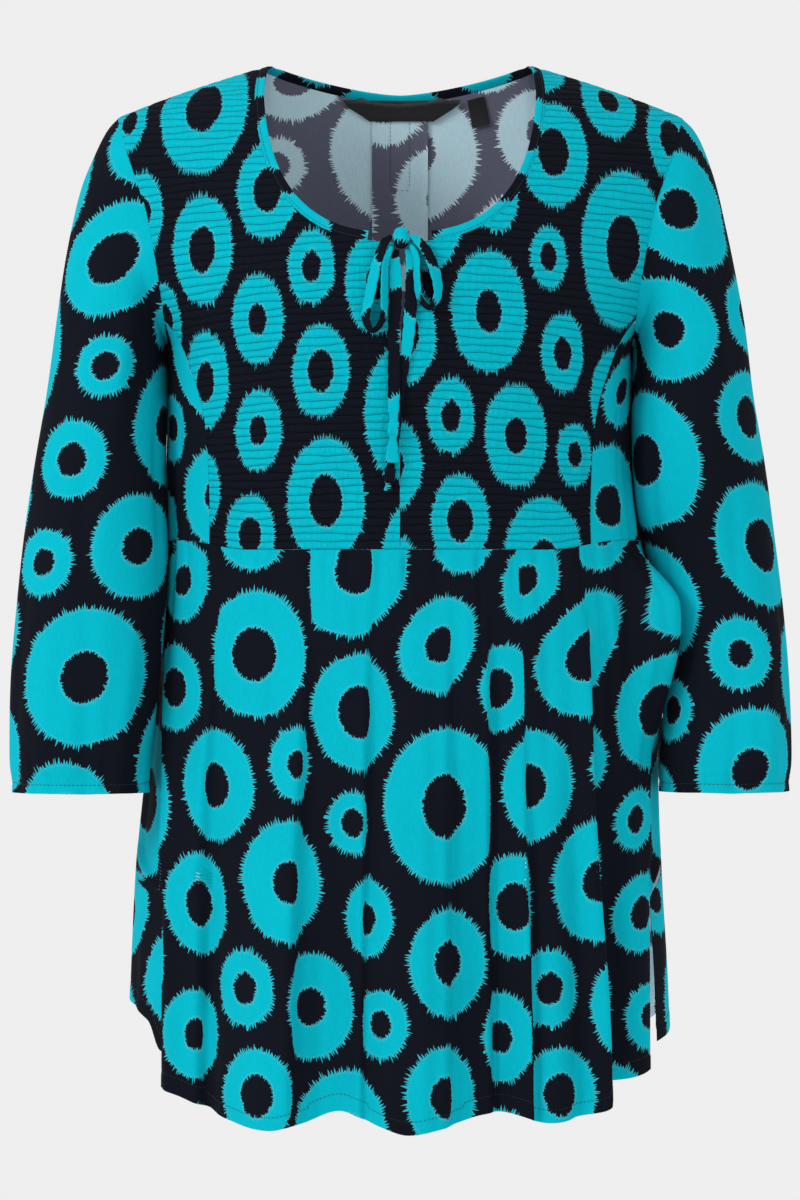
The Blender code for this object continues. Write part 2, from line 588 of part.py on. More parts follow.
def make_front_skirt(material):
    """The gathered front skirt, with side vents and a curved hem."""
    shares = np.linspace(-1.0, 1.0, SKIRT_COLUMNS + 1)
    top_z = waist_z(half_width(shares, EMPIRE_Z) * np.sin(shares * math.pi / 2.0), EMPIRE_Z) - SEAM_GAP
    hem_angle = shares * vent_angle(shares, FRONT_HEM["z"][0], "front")
    hem_z = np.interp(hem_angle, FRONT_HEM["angle"], FRONT_HEM["z"])
    rows = []
    for t in np.linspace(0.0, 1.0, SKIRT_ROWS + 1) ** 1.15:
        z = top_z + (hem_z - top_z) * t
        angle = shares * vent_angle(shares, z, "front")
        below = EMPIRE_Z - z
        gather = GATHER_DEPTH * np.cos(shares * math.pi * GATHERS) * np.exp(-((below / GATHER_LENGTH) ** 2))
        push = fold_depth(FRONT_FOLDS, angle, z) + gather * smooth(t / 0.06)
        push = push * smooth((1.0 - np.abs(shares)) / 0.07)
        rows.append(section_point(-1, angle, z, push))
    outer = np.array(rows)
    normals = level_at_seam(outer, outward(outer, grid_normals(outer)))
    return sheet_wall("front_skirt", material, outer, normals)


def back_top_z(x):
    """Height of the back's top edge: the shoulder line, and the neck curve between the neck points."""
    extra = BINDING_WIDTH + SEAM_GAP
    inside_neck = np.abs(x) < NECK_POINT_X + extra
    return np.where(inside_neck, back_neck_z(x, extra), shoulder_z(x))


def back_shares():
    """Shares of the back's width for its columns, with one at each neck point."""
    width = float(half_width(0.1, SHOULDER_TIP_Z))
    neck = math.asin((NECK_POINT_X + BINDING_WIDTH + SEAM_GAP) / width) / math.asin(ARMHOLE["x"][0] / width)
    side = np.linspace(neck, 1.0, BACK_SIDE_COLUMNS + 1)
    return np.concatenate([-side[::-1], np.linspace(-neck, neck, BACK_NECK_COLUMNS + 1)[1:-1], side])


def back_sheet():
    """Outer face of the back, from its top edge to its curved hem, and its normals."""
    shares = back_shares()
    tip_x = ARMHOLE["x"][0]
    rows = []
    for t in np.linspace(0.0, 1.0, BACK_TOP_ROWS + 1) ** 1.5:
        edge_z = SHOULDER_TIP_Z + (UNDERARM_Z - SHOULDER_TIP_Z) * t
        edge_x = float(column(ARMHOLE, "x", "z", edge_z))
        width = float(half_width(0.1, edge_z))
        top_z = back_top_z(np.sin(shares * math.asin(tip_x / float(half_width(0.1, SHOULDER_TIP_Z))))
                           * float(half_width(0.1, SHOULDER_TIP_Z)))
        reach = math.asin(min(edge_x / width, 1.0))
        across = width * np.sin(shares * reach)
        z = top_z + (UNDERARM_Z - top_z) * t
        rows.append(cloth_point(1, across, z))
    hem_angle = shares * vent_angle(shares, BACK_HEM["z"][0], "back")
    hem_z = np.interp(hem_angle, BACK_HEM["angle"], BACK_HEM["z"])
    for t in np.linspace(0.0, 1.0, BACK_BODY_ROWS + 1)[1:]:
        z = UNDERARM_Z + (hem_z - UNDERARM_Z) * t
        angle = shares * vent_angle(shares, z, "back")
        push = fold_depth(BACK_FOLDS, angle, z) * smooth((1.0 - np.abs(shares)) / 0.09)
        start, full = VENT_TUCK_ANGLES
        tuck = VENT_TUCK * vent_share(z) * smooth((np.abs(angle) - start) / (full - start))
        rows.append(section_point(1, angle, z, push - tuck))
    outer = np.array(rows)
    return outer, level_at_seam(outer, outward(outer, grid_normals(outer)))


def back_patch(back, across, z, offset):
    """A face inside the back, offset from the back's inner face, with its normals."""
    base = cloth_point(1, across, z)
    tree = BVHTree.FromPolygons([v.co for v in back.data.vertices], [p.vertices for p in back.data.polygons])
    for place in np.ndindex(base.shape[:2]):
        hit = tree.ray_cast(Vector((base[place][0], 1.0, base[place][2])), Vector((0.0, -1.0, 0.0)))[0]
        if hit is not None and hit.y > 0.0:
            base[place][1] = min(base[place][1], hit.y)
    normals = outward(base, grid_normals(base))
    return base - normals * (CLOTH + offset), normals


def make_box_pleat(back, material):
    """The underlay of the inverted pleat, flat against the inside of the back."""
    across = np.linspace(-PLEAT_HALF, PLEAT_HALF, 5)
    top = back_neck_z(PLEAT_HALF, BINDING_WIDTH) - 0.0006
    z = top - PLEAT_LENGTH * np.linspace(0.0, 1.0, 11) ** 1.6
    grid_x, grid_z = np.meshgrid(across, z)
    face, normals = back_patch(back, grid_x, grid_z, 2.0 * SEAM_GAP)
    return sheet_wall("box_pleat", material, face, normals, thickness=PLEAT_THICK)


def make_neck_label(back, material):
    """A blank woven label with slanted ends, under the back neck binding."""
    rows_z = np.linspace(LABEL_Z[0], LABEL_Z[1], 5)
    share = (rows_z - LABEL_Z[0]) / (LABEL_Z[1] - LABEL_Z[0])
    left = np.interp(share, LABEL_ENDS["share"], LABEL_ENDS["left"])
    right = np.interp(share, LABEL_ENDS["share"], LABEL_ENDS["right"])
    across = left[:, None] + (right - left)[:, None] * np.linspace(0.0, 1.0, 15)[None, :]
    face, normals = back_patch(back, across, np.broadcast_to(rows_z[:, None], across.shape), LABEL_OFFSET)
    return sheet_wall("neck_label", material, face, normals, thickness=LABEL_THICK)


def make_size_tag(back, material):
    """A blank tag that hangs a little turned beside the neck label."""
    local_x, local_z = np.meshgrid(np.linspace(-0.5, 0.5, 4) * TAG_SIZE[0], np.linspace(0.5, -0.5, 5) * TAG_SIZE[1])
    across = TAG_CENTRE[0] + local_x * math.cos(TAG_TURN) - local_z * math.sin(TAG_TURN)
    z = TAG_CENTRE[1] + local_x * math.sin(TAG_TURN) + local_z * math.cos(TAG_TURN)
    face, normals = back_patch(back, across, z, TAG_OFFSET)
    return sheet_wall("size_tag", material, face, normals, thickness=LABEL_THICK)


def armhole_ring(sign, turns):
    """The armhole's edge as a loop: turn 0 at the shoulder tip, front first, half a turn at the underarm."""
    middle, half = (SHOULDER_TIP_Z + UNDERARM_Z) / 2.0, (SHOULDER_TIP_Z - UNDERARM_Z) / 2.0
    z = middle + half * np.cos(turns)
    x = column(ARMHOLE, "x", "z", z)
    front, back = cloth_point(-1, sign * x, z), cloth_point(1, sign * x, z)
    in_front = (np.sin(turns) > 0.0)[:, None]
    ring = np.where(in_front, front, back)
    on_seam = np.abs(np.sin(turns)) < 1e-6
    ring[on_seam, 1] = 0.0
    away = np.stack([sign * (0.7 + 0.3 * np.cos(turns)), 0.0 * z, 0.35 * (np.cos(turns) - 1.0)], axis=-1)
    away /= np.linalg.norm(away, axis=-1, keepdims=True)
    return ring + away * ARMHOLE_EASE


def make_sleeve(name, sign, material):
    """A three-quarter sleeve from the armhole to its narrow, slightly gathered hem."""
    side = "left" if sign < 0 else "right"
    turns = np.linspace(0.0, 2.0 * math.pi, SLEEVE_COLUMNS, endpoint=False)
    rings = [armhole_ring(sign, turns)]
    for k in range(len(SLEEVE["outer_z"])):
        outer = np.array([sign * SLEEVE[side + "_outer"][k], SLEEVE["outer_z"][k]])
        inner = np.array([sign * SLEEVE[side + "_inner"][k], SLEEVE["inner_z"][k]])
        centre, reach = (outer + inner) / 2.0, (outer - inner) / 2.0
        across = centre[0] + reach[0] * np.cos(turns)
        height = centre[1] + reach[1] * np.cos(turns)
        kept = SLEEVE["armhole"][k]
        depth = kept * rings[0][:, 1] - (1.0 - kept) * SLEEVE["depth"][k] * np.sin(turns)
        depth = depth - SLEEVE[side + "_forward"][k]
        rings.append(np.stack([across, depth, height], axis=-1))
    outer_face = np.array(rings)
    normals = grid_normals(outer_face, closed=True)
    middle = outer_face.mean(axis=1, keepdims=True)
    if np.sum(normals * (outer_face - middle)) < 0.0:
        normals = -normals
    solid = Solid()
    outer_numbers = solid.add_grid(outer_face)
    inner_numbers = solid.add_grid(outer_face - normals * CLOTH)
    solid.add_quads(outer_numbers, closed=True)
    solid.add_quads(inner_numbers[::-1], closed=True)
    for end in (0, -1):
        rim = np.array([outer_numbers[end], inner_numbers[end]])
        solid.add_quads(rim, closed=True)
    return solid.build(name, material)


def neck_edge(right, back, left):
    """The sheets' edge round the neck with its normals, from the slit's right side to its left side."""
    def front_part(sheet):
        points, normals = sheet[0][:, 0], sheet[1][:, 0]
        count = int(np.sum(points[:, 2] > -(NECK_OPENING_DROP + BINDING_WIDTH)))
        kept = thinned(points[:count, None], BINDING_SPACING)[::-1]
        return points[kept], normals[kept]

    def back_part(sheet):
        on_neck = np.abs(sheet[0][0][:, 0]) < NECK_POINT_X + BINDING_WIDTH + 2.0 * SEAM_GAP
        return sheet[0][0][on_neck], sheet[1][0][on_neck]

    right_part, left_part, middle = front_part(right), front_part(left), back_part(back)
    return tuple(
        np.concatenate([right_part[k], middle[k][::-1], left_part[k][::-1]]) for k in range(2)
    )


def make_neck_binding(edge, normals, material):
    """The bias binding, a folded strip that stands a little proud of the cloth on both sides."""
    near_seam = np.exp(-((edge[:, 1] / BINDING_EASE_OVER) ** 2))[:, None]
    steps = np.diff(edge, axis=0)
    steps /= np.linalg.norm(steps, axis=1, keepdims=True)
    along = np.vstack([steps[:1], steps[:-1] + steps[1:], steps[-1:]])
    across = np.cross(normals, along)
    across /= np.linalg.norm(across, axis=1, keepdims=True)
    middle = len(edge) // 2
    if across[middle, 2] < 0.0:
        across = -across
    proud, deep, turn = BINDING_PROUD, -CLOTH - BINDING_PROUD, BINDING_TURN
    edge = edge + across * near_seam * 2.0 * SEAM_GAP
    near, far = SEAM_GAP, SEAM_GAP + BINDING_WIDTH
    profile = ((near, proud), (far - turn, proud), (far, proud - turn), (far, deep + turn), (far - turn, deep),
               (near, deep))
    rings = np.array([edge + across * reach + normals * rise for reach, rise in profile])
    solid = Solid()
    numbers = solid.add_grid(np.swapaxes(rings, 0, 1))
    solid.add_quads(numbers, closed=True)
    solid.faces.append(tuple(numbers[0]))
    solid.faces.append(tuple(numbers[-1][::-1]))
    return solid.build("neck_binding", material)


def spline(rows, steps):
    """Rows of numbers smoothed by a Catmull-Rom curve, with steps points between two rows."""
    rows = np.asarray(rows, float)
    padded = np.vstack([2.0 * rows[0] - rows[1], rows, 2.0 * rows[-1] - rows[-2]])
    out = []
    for k in range(1, len(padded) - 2):
        p0, p1, p2, p3 = padded[k - 1 : k + 3]
        for t in np.linspace(0.0, 1.0, steps, endpoint=False):
            out.append(0.5 * (2 * p1 + (p2 - p0) * t + (2 * p0 - 5 * p1 + 4 * p2 - p3) * t**2
                              + (3 * p1 - p0 - 3 * p2 + p3) * t**3))
    out.append(rows[-1])
    return np.array(out)


def make_ribbon(name, table, material):
    """A strip of folded cloth swept along its table of places on the front."""
    tie = dict(zip(TIE_COLUMNS, spline(table, RIBBON_STEPS).T))
    width, thick = tie["width"][:, None], tie["thick"][:, None]
    base = cloth_point(-1, tie["x"], tie["z"])
    facing = np.array([0.0, -1.0, 0.12])
    facing /= np.linalg.norm(facing)
    path = base + facing * tie["out"][:, None]
    along = np.gradient(path, axis=0)
    along /= np.linalg.norm(along, axis=1, keepdims=True)
    sideways = np.cross(along, facing)
    sideways /= np.linalg.norm(sideways, axis=1, keepdims=True)
    normal = np.cross(sideways, along)
    turn = np.radians(tie["roll"])[:, None]
    wide = sideways * np.cos(turn) + normal * np.sin(turn)
    high = normal * np.cos(turn) - sideways * np.sin(turn)
    profile = ((-0.5, 0.0), (-0.38, 0.5), (0.0, 0.5), (0.38, 0.5), (0.5, 0.0), (0.38, -0.5), (-0.38, -0.5))
    rings = np.array([path + wide * a * width + high * b * thick for a, b in profile])
    solid = Solid()
    numbers = solid.add_grid(np.swapaxes(rings, 0, 1))
    solid.add_quads(numbers, closed=True)
    solid.faces.append(tuple(numbers[0]))
    solid.faces.append(tuple(numbers[-1][::-1]))
    return solid.build(name, material)


def make_bow_knot(material):
    """The knot of the bow, a small rounded lump in front of the slit's top."""
    centre = cloth_point(-1, *KNOT_CENTRE) + np.array([0.0, -KNOT_OUT, 0.0])
    mesh = bpy.data.meshes.new("bow_knot")
    work = bmesh.new()
    bmesh.ops.create_icosphere(work, subdivisions=2, radius=1.0)
    for vertex in work.verts:
        for axis in range(3):
            vertex.co[axis] = vertex.co[axis] * KNOT_RADII[axis] + centre[axis]
    work.to_mesh(mesh)
    work.free()
    mesh.shade_smooth()
    mesh.materials.append(material)
    knot = bpy.data.objects.new("bow_knot", mesh)
    bpy.context.collection.objects.link(knot)
    return knot


def main():
    """Builds the whole blouse."""
    for old in list(bpy.data.objects):
        bpy.data.objects.remove(old)
    smocked = cloth_material("smocked cloth", TURQUOISE)
    plain = cloth_material("printed cloth", TURQUOISE_DEEP)
    dark = cloth_material("dark printed cloth", MIDNIGHT)
    label = cloth_material("label", LABEL_BLACK, 0.5)
    left_sheet, right_sheet, back_face = yoke_sheet(-1.0), yoke_sheet(1.0), back_sheet()
    make_yoke("yoke_left", left_sheet, smocked)
    make_yoke("yoke_right", right_sheet, smocked)
    make_side_panel("side_panel_left", -1.0, plain)
    make_side_panel("side_panel_right", 1.0, plain)
    make_front_skirt(plain)
    back = sheet_wall("back", plain, *back_face)
    make_box_pleat(back, plain)
    make_sleeve("sleeve_left", -1.0, plain)
    make_sleeve("sleeve_right", 1.0, plain)
    make_neck_binding(*neck_edge(right_sheet, back_face, left_sheet), smocked)
    make_bow_knot(dark)
    make_ribbon("bow_loop_left", LOOP_LEFT, smocked)
    make_ribbon("bow_loop_right", LOOP_RIGHT, smocked)
    make_ribbon("tie_tail_left", TAIL_LEFT, smocked)
    make_ribbon("tie_tail_right", TAIL_RIGHT, smocked)
    make_neck_label(back, label)
    make_size_tag(back, label)


main()
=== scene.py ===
"""Dresses the smock blouse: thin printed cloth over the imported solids, with its smocking, folds and stitches.

The front faces -Y, +X is to the right in a front view and +Z is up, all in metres.  Every cloth piece is a
thin two-layered shell on the form of its solid.  Its UV map "cloth" holds each point's place on the flat cut,
in metres, so that the print and the crinkle of the cloth follow it.
"""

import logging
import math
from collections.abc import Mapping, Sequence
from dataclasses import dataclass
from enum import Enum
from typing import Any

import bpy
import numpy as np
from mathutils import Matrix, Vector
from mathutils.bvhtree import BVHTree

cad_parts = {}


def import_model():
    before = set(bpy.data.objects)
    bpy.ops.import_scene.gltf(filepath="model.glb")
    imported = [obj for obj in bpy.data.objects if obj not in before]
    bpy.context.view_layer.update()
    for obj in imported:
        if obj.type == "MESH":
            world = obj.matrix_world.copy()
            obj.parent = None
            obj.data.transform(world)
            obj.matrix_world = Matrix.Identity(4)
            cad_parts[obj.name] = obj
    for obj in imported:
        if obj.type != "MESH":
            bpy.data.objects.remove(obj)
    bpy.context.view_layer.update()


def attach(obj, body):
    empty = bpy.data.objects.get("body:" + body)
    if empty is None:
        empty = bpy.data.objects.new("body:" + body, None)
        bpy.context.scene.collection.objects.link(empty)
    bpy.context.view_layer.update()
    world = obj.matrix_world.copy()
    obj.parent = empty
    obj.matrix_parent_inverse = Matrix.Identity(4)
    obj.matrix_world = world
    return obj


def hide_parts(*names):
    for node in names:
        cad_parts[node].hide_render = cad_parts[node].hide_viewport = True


LOG = logging.getLogger("smock_blouse")
Array = np.ndarray


class Facing(Enum):
    """Which half of the body a point lies on."""

    FRONT = -1
    BACK = 1


class Side(Enum):
    """Left or right, as seen from the front."""

    LEFT = -1
    RIGHT = 1

    @property
    def word(self) -> str:
        """The side's name in small letters."""
        return self.name.lower()


class Hold(Enum):
    """How a piece of cloth is held."""

    HUNG = "hung"
    GATHERED = "gathered"
    FOLDED = "folded"


def smooth(t: Array | float) -> Array:
    """Smooth step from 0 to 1."""
    t = np.clip(t, 0.0, 1.0)
    return t * t * (3.0 - 2.0 * t)


def spline(rows: Array, steps: int) -> Array:
    """Rows of numbers smoothed by a Catmull-Rom curve.

    Args:
        rows: The rows that the curve passes through.
        steps: How many points it gets between two rows.

    Returns:
        The finer rows, with the last one included.
    """
    rows = np.asarray(rows, float)
    padded = np.concatenate([2.0 * rows[:1] - rows[1:2], rows, 2.0 * rows[-1:] - rows[-2:-1]])
    out = []
    for k in range(1, len(padded) - 2):
        p0, p1, p2, p3 = padded[k - 1 : k + 3]
        for t in np.linspace(0.0, 1.0, steps, endpoint=False):
            bend = (2 * p0 - 5 * p1 + 4 * p2 - p3) * t**2 + (3 * p1 - p0 - 3 * p2 + p3) * t**3
            out.append(0.5 * (2 * p1 + (p2 - p0) * t + bend))
    out.append(rows[-1])
    return np.array(out)


def curve(at: Array | float, places: Sequence[float], values: Sequence[float]) -> Array:
    """Smooth curve through a table that nowhere swings past the table's values.

    Args:
        at: Where the curve is wanted.
        places: The table's places, growing.
        values: Its values.

    Returns:
        The curve's values.
    """
    x, y, at = np.asarray(places, float), np.asarray(values, float), np.asarray(at, float)
    gaps = np.diff(x)
    slopes = np.diff(y) / gaps
    before, after = slopes[:-1], slopes[1:]
    turning = before * after <= 0.0
    mean = 2.0 * before * after / np.where(turning, 1.0, before + after)
    tangents = np.concatenate([slopes[:1], np.where(turning, 0.0, mean), slopes[-1:]])
    k = np.clip(np.searchsorted(x, at, side="right") - 1, 0, len(x) - 2)
    t = np.clip((at - x[k]) / gaps[k], 0.0, 1.0)
    start = (1.0 + 2.0 * t) * (1.0 - t) ** 2 * y[k] + t * (1.0 - t) ** 2 * gaps[k] * tangents[k]
    return start + t**2 * (3.0 - 2.0 * t) * y[k + 1] - t**2 * (1.0 - t) * gaps[k] * tangents[k + 1]


# ----------------------------------------------------------------------------- folds
TUCK_AT_SEAM, TUCK_MORE = 0.55, 0.45  # shares of a fold's hidden width at its top, and that come below it
TUCK_FROM_Z, TUCK_OVER = -0.36, 0.10  # height from which they come, and over which length
TUCK_TURN = 0.7  # degrees over which the hidden width is passed


@dataclass(frozen=True)
class Fold:
    """One fold or crease: where it is round the section, and how it grows and fades downwards."""

    angle: float  # degrees from the centre line, or round the sleeve
    spread: float  # half width in degrees
    depth: float  # outwards if positive
    start: float  # height where it starts
    full: float  # height where it is full
    fade: float = -2.0  # height where it has faded again
    lean: float = 0.0  # degrees that it moves round for each metre upwards
    edge: float = 0.0  # half width of a sharp edge, with the cloth pushed out before it and in after it
    hidden: float = 0.0  # width of the cloth that is folded away at that edge

    def depth_at(self, angle: Array, z: Array) -> Array:
        """How far the fold pushes the cloth outwards at an angle and a height."""
        grown = smooth((self.start - z) / (self.start - self.full))
        faded = smooth((z - self.fade) / (self.full - self.fade)) if self.fade > -1.0 else 1.0
        off = self.off(angle, z)
        shape = np.exp(-((off / self.spread) ** 2))
        if self.edge > 0.0:
            shape = -shape * np.tanh(off / self.edge)
        return self.depth * grown * faded * shape

    def off(self, angle: Array, z: Array) -> Array:
        """How many degrees a place is past the fold's line."""
        return (angle - self.angle - self.lean * (z - self.full) + 180.0) % 360.0 - 180.0

    def tucked(self, angle: Array, z: Array) -> Array:
        """Width of the hidden cloth that lies before a place, counted from the left."""
        grown = TUCK_AT_SEAM + TUCK_MORE * smooth((TUCK_FROM_Z - z) / TUCK_OVER)
        return self.hidden * grown * smooth(self.off(angle, z) / TUCK_TURN + 0.5)


def fold_depth(folds: Sequence[Fold], angle: Array, z: Array) -> Array:
    """Sum of the folds at an angle and a height."""
    total = np.zeros(np.broadcast(angle, z).shape)
    for fold in folds:
        total = total + fold.depth_at(angle, z)
    return total


HEM_RISE, HEM_STEP = 0.00035, 0.0010  # how far a turned hem stands out, and over which length
HEM_GROOVE, HEM_GROOVE_HALF = 0.00030, 0.0016  # how far its stitches draw it in, and how wide


def hem_groove(above: Array, turn: float) -> Array:
    """Share of the groove along a hem's stitches at a height above the hem's edge."""
    return np.exp(-(((above - turn) / HEM_GROOVE_HALF) ** 2))


def hemmed(push: Array, above: Array, turn: float) -> Array:
    """How far the cloth is pushed outwards, with its turned and stitched hem added.

    Args:
        push: How far it is pushed without the hem.
        above: Height above the hem's edge.
        turn: Width of the hem's turn.

    Returns:
        The sum.
    """
    return push + HEM_RISE * smooth((turn - above) / HEM_STEP) - HEM_GROOVE * hem_groove(above, turn)


# ----------------------------------------------------------------------------- the body's form
@dataclass(frozen=True)
class BodyForm:
    """The blouse's filled-out form: sections, shoulder line, neck, waist seam and the pieces' seams."""

    seam_gap: float = 0.0003
    neck_point_x: float = 0.0968
    neck_point_z: float = 0.0025
    shoulder_slope: float = 0.27
    shoulder_curve: float = 0.60
    shoulder_tip_x: float = 0.2115
    neck_ridge: float = 0.030
    front_round: float = 0.20
    back_round: float = 0.16
    section_power: float = 0.425
    reference_x: float = 0.112  # distance across at which lengths down the cloth are measured
    binding_width: float = 0.007
    neck_fullness: float = 2.6
    neck_opening_half: float = 0.1010
    neck_opening_drop: float = 0.1300
    neck_taper: float = 0.030
    back_neck_low: float = -0.0118
    back_neck_power: float = 1.5
    empire_z: float = -0.3605
    empire_rise: float = 0.0075
    empire_rise_from: float = 0.11
    empire_rise_over: float = 0.055
    empire_rise_top_z: float = -0.25
    underarm_z: float = -0.210
    panel_top_z: float = -0.1820
    row_droop: float = 0.010
    row_droop_half: float = 0.17
    vent_top_z: float = -0.575
    vent_turn: float = 0.045
    plumb: tuple[float, float] = (0.1752, 0.1845)  # where the front's side edges hang straight down
    vent_back: tuple[float, float] = (123.0, 107.0)
    vent_tuck: float = 0.0055
    vent_tuck_angles: tuple[float, float] = (98.0, 114.0)
    section_z: tuple[float, ...] = (0.02, -0.040, -0.070, -0.106, -0.142, -0.182, -0.210, -0.250, -0.300,
                                    -0.345, -0.380, -0.450, -0.5415, -0.600, -0.690, -0.740, -0.790)
    section_left: tuple[float, ...] = (0.262, 0.245, 0.235, 0.222, 0.207, 0.186, 0.1735, 0.1738, 0.1750,
                                       0.1748, 0.1758, 0.1818, 0.1925, 0.1980, 0.2020, 0.2035, 0.2045)
    section_right: tuple[float, ...] = (0.262, 0.245, 0.235, 0.222, 0.207, 0.186, 0.1735, 0.1728, 0.1742,
                                        0.1790, 0.1850, 0.1925, 0.1940, 0.1960, 0.2010, 0.2025, 0.2035)
    section_front: tuple[float, ...] = (0.108, 0.110, 0.111, 0.113, 0.116, 0.119, 0.121, 0.121, 0.117,
                                        0.113, 0.113, 0.116, 0.122, 0.126, 0.132, 0.136, 0.139)
    section_back: tuple[float, ...] = (0.086, 0.088, 0.090, 0.092, 0.094, 0.095, 0.094, 0.091, 0.087,
                                       0.085, 0.086, 0.090, 0.098, 0.104, 0.113, 0.118, 0.122)
    armhole_z: tuple[float, ...] = (-0.0625, -0.086, -0.110, -0.140, -0.165, -0.182, -0.210)
    armhole_x: tuple[float, ...] = (0.2035, 0.1955, 0.1875, 0.1815, 0.1775, 0.1755, 0.1734)
    yoke_seam_z: tuple[float, ...] = (-0.190, -0.1965, -0.205, -0.2150, -0.230, -0.252, -0.268, -0.2965,
                                      -0.338, -0.362)
    yoke_seam_x: tuple[float, ...] = (0.1742, 0.1690, 0.1635, 0.1585, 0.1530, 0.1460, 0.1430, 0.1405,
                                      0.1395, 0.1400)
    slit_z: tuple[float, ...] = (-0.120, -0.138, -0.150, -0.165, -0.185, -0.205, -0.215)
    slit_half: tuple[float, ...] = (0.0040, 0.0045, 0.0052, 0.0046, 0.0028, 0.0008, 0.00015)

    @staticmethod
    def at(z: Array | float, heights: Sequence[float], values: Sequence[float]) -> Array:
        """Value of a table at a height, along a smooth curve through its rows, which run downwards."""
        return curve(-np.asarray(z, float), -np.asarray(heights, float), values)

    @property
    def shoulder_tip_z(self) -> float:
        """Height of the shoulder's tip."""
        return float(self.shoulder_z(self.shoulder_tip_x))

    def shoulder_z(self, x: Array | float) -> Array:
        """Height of the shoulder line at a distance across, level between the neck points."""
        reach = np.maximum(np.abs(x) - self.neck_point_x, 0.0)
        return self.neck_point_z - self.shoulder_slope * reach - self.shoulder_curve * reach**2

    def shoulder_x(self, z: float) -> float:
        """Distance across at which the shoulder line has a height."""
        drop = self.neck_point_z - z
        root = math.sqrt(self.shoulder_slope**2 + 4.0 * self.shoulder_curve * drop)
        return self.neck_point_x + (root - self.shoulder_slope) / (2.0 * self.shoulder_curve)

    def ridge_z(self, x: Array) -> Array:
        """Height from which the body's depth is counted."""
        return self.shoulder_z(x) + self.neck_ridge * np.maximum(1.0 - (x / self.neck_point_x) ** 2, 0.0)

    def half_width(self, x: Array | float, z: Array | float) -> Array:
        """Half width of the body's section on the side of x."""
        left, right = (self.at(z, self.section_z, table) for table in (self.section_left, self.section_right))
        return np.where(np.asarray(x) < 0.0, left, right)

    def armhole(self, z: Array | float) -> Array:
        """Distance across of the armhole's edge at a height."""
        heights, across = (self.shoulder_tip_z, *self.armhole_z), (self.shoulder_tip_x, *self.armhole_x)
        return self.at(z, heights, across)

    def point(self, facing: Array | int, x: Array, z: Array, push: Array | float = 0.0) -> Array:
        """Points of the body's outer face.

        Args:
            facing: The value of Facing, or an array of such values.
            x: Distances across.
            z: Heights.
            push: How far the points are moved outwards.

        Returns:
            The points, with their three coordinates on the last axis.
        """
        x, z, in_front = np.asarray(x, float), np.asarray(z, float), np.asarray(facing) < 0
        width = self.half_width(x, z)
        share = np.clip(x / width, -1.0, 1.0)
        front, back = (self.at(z, self.section_z, table) for table in (self.section_front, self.section_back))
        depth = np.where(in_front, front, back)
        reach = np.where(in_front, self.front_round, self.back_round)
        rest = 1.0 - np.clip((self.ridge_z(x) - z) / reach, 0.0, 1.0)
        rounded = np.sqrt(np.maximum(1.0 - rest * rest, 0.0))
        y = facing * depth * rounded * (1.0 - share * share) ** self.section_power
        across, along = share / width, facing * np.sqrt(1.0 - share * share) / depth
        length = np.sqrt(across * across + along * along)
        moved_x = x + push * across / length
        moved_y = y + push * along / length + facing * self.seam_gap / 2.0
        return np.stack([moved_x, moved_y, z + 0.0 * x], axis=-1)

    def fallen(self, facing: Facing, z: Array) -> Array:
        """Length down the cloth from the shoulder to a height, measured at the reference line."""
        x = self.reference_x
        heights = np.linspace(float(self.shoulder_z(x)), self.section_z[-1], 400)
        along = arc_lengths(self.point(facing.value, np.full_like(heights, x), heights)[None], 1)[0]
        return np.interp(-z, -heights, along)

    def centre_arc(self, across: Array, level: float) -> Array:
        """Level length along the front from the centre line to distances across."""
        fine = np.sin(np.linspace(0.0, math.pi / 2.0, 120)) * float(self.half_width(across[-1], level))
        path = self.point(-1, fine, np.full_like(fine, level))
        return np.interp(np.abs(across), fine, arc_lengths(path[None], 1)[0])

    def waist_z(self, x: Array | float, level: Array | float) -> Array:
        """Height at x of a yoke row whose height at the centre is level."""
        tip = self.shoulder_tip_z
        mid = math.pi * np.clip((level - tip) / (self.empire_z - tip), 0.0, 1.0)
        droop = self.row_droop * np.sin(mid) * (x / self.row_droop_half) ** 2
        rise = self.empire_rise * smooth((np.abs(x) - self.empire_rise_from) / self.empire_rise_over)
        top = self.empire_rise_top_z
        return level - droop + rise * smooth((top - level) / (top - self.empire_z))

    def neck_half(self, z: float, extra: float) -> float:
        """Half width of the front neck opening at a height, widened all round by extra."""
        half, drop = self.neck_opening_half + extra, self.neck_opening_drop + extra
        share = min(max((self.neck_point_z - z) / (drop + self.neck_point_z), 0.0), 1.0)
        wide = half * (1.0 - share**self.neck_fullness) ** (1.0 / self.neck_fullness)
        near_top = min(max((z + self.neck_taper) / (self.neck_taper + self.neck_point_z), 0.0), 1.0)
        return wide - (half - self.neck_point_x - extra) * near_top**2

    def back_neck_z(self, x: Array | float, extra: float) -> Array:
        """Height of the back neck opening's edge at x, lowered by extra."""
        point_z = float(self.shoulder_z(self.neck_point_x + extra))
        low = self.back_neck_low - extra
        return low + (point_z - low) * (np.abs(x) / (self.neck_point_x + extra)) ** self.back_neck_power

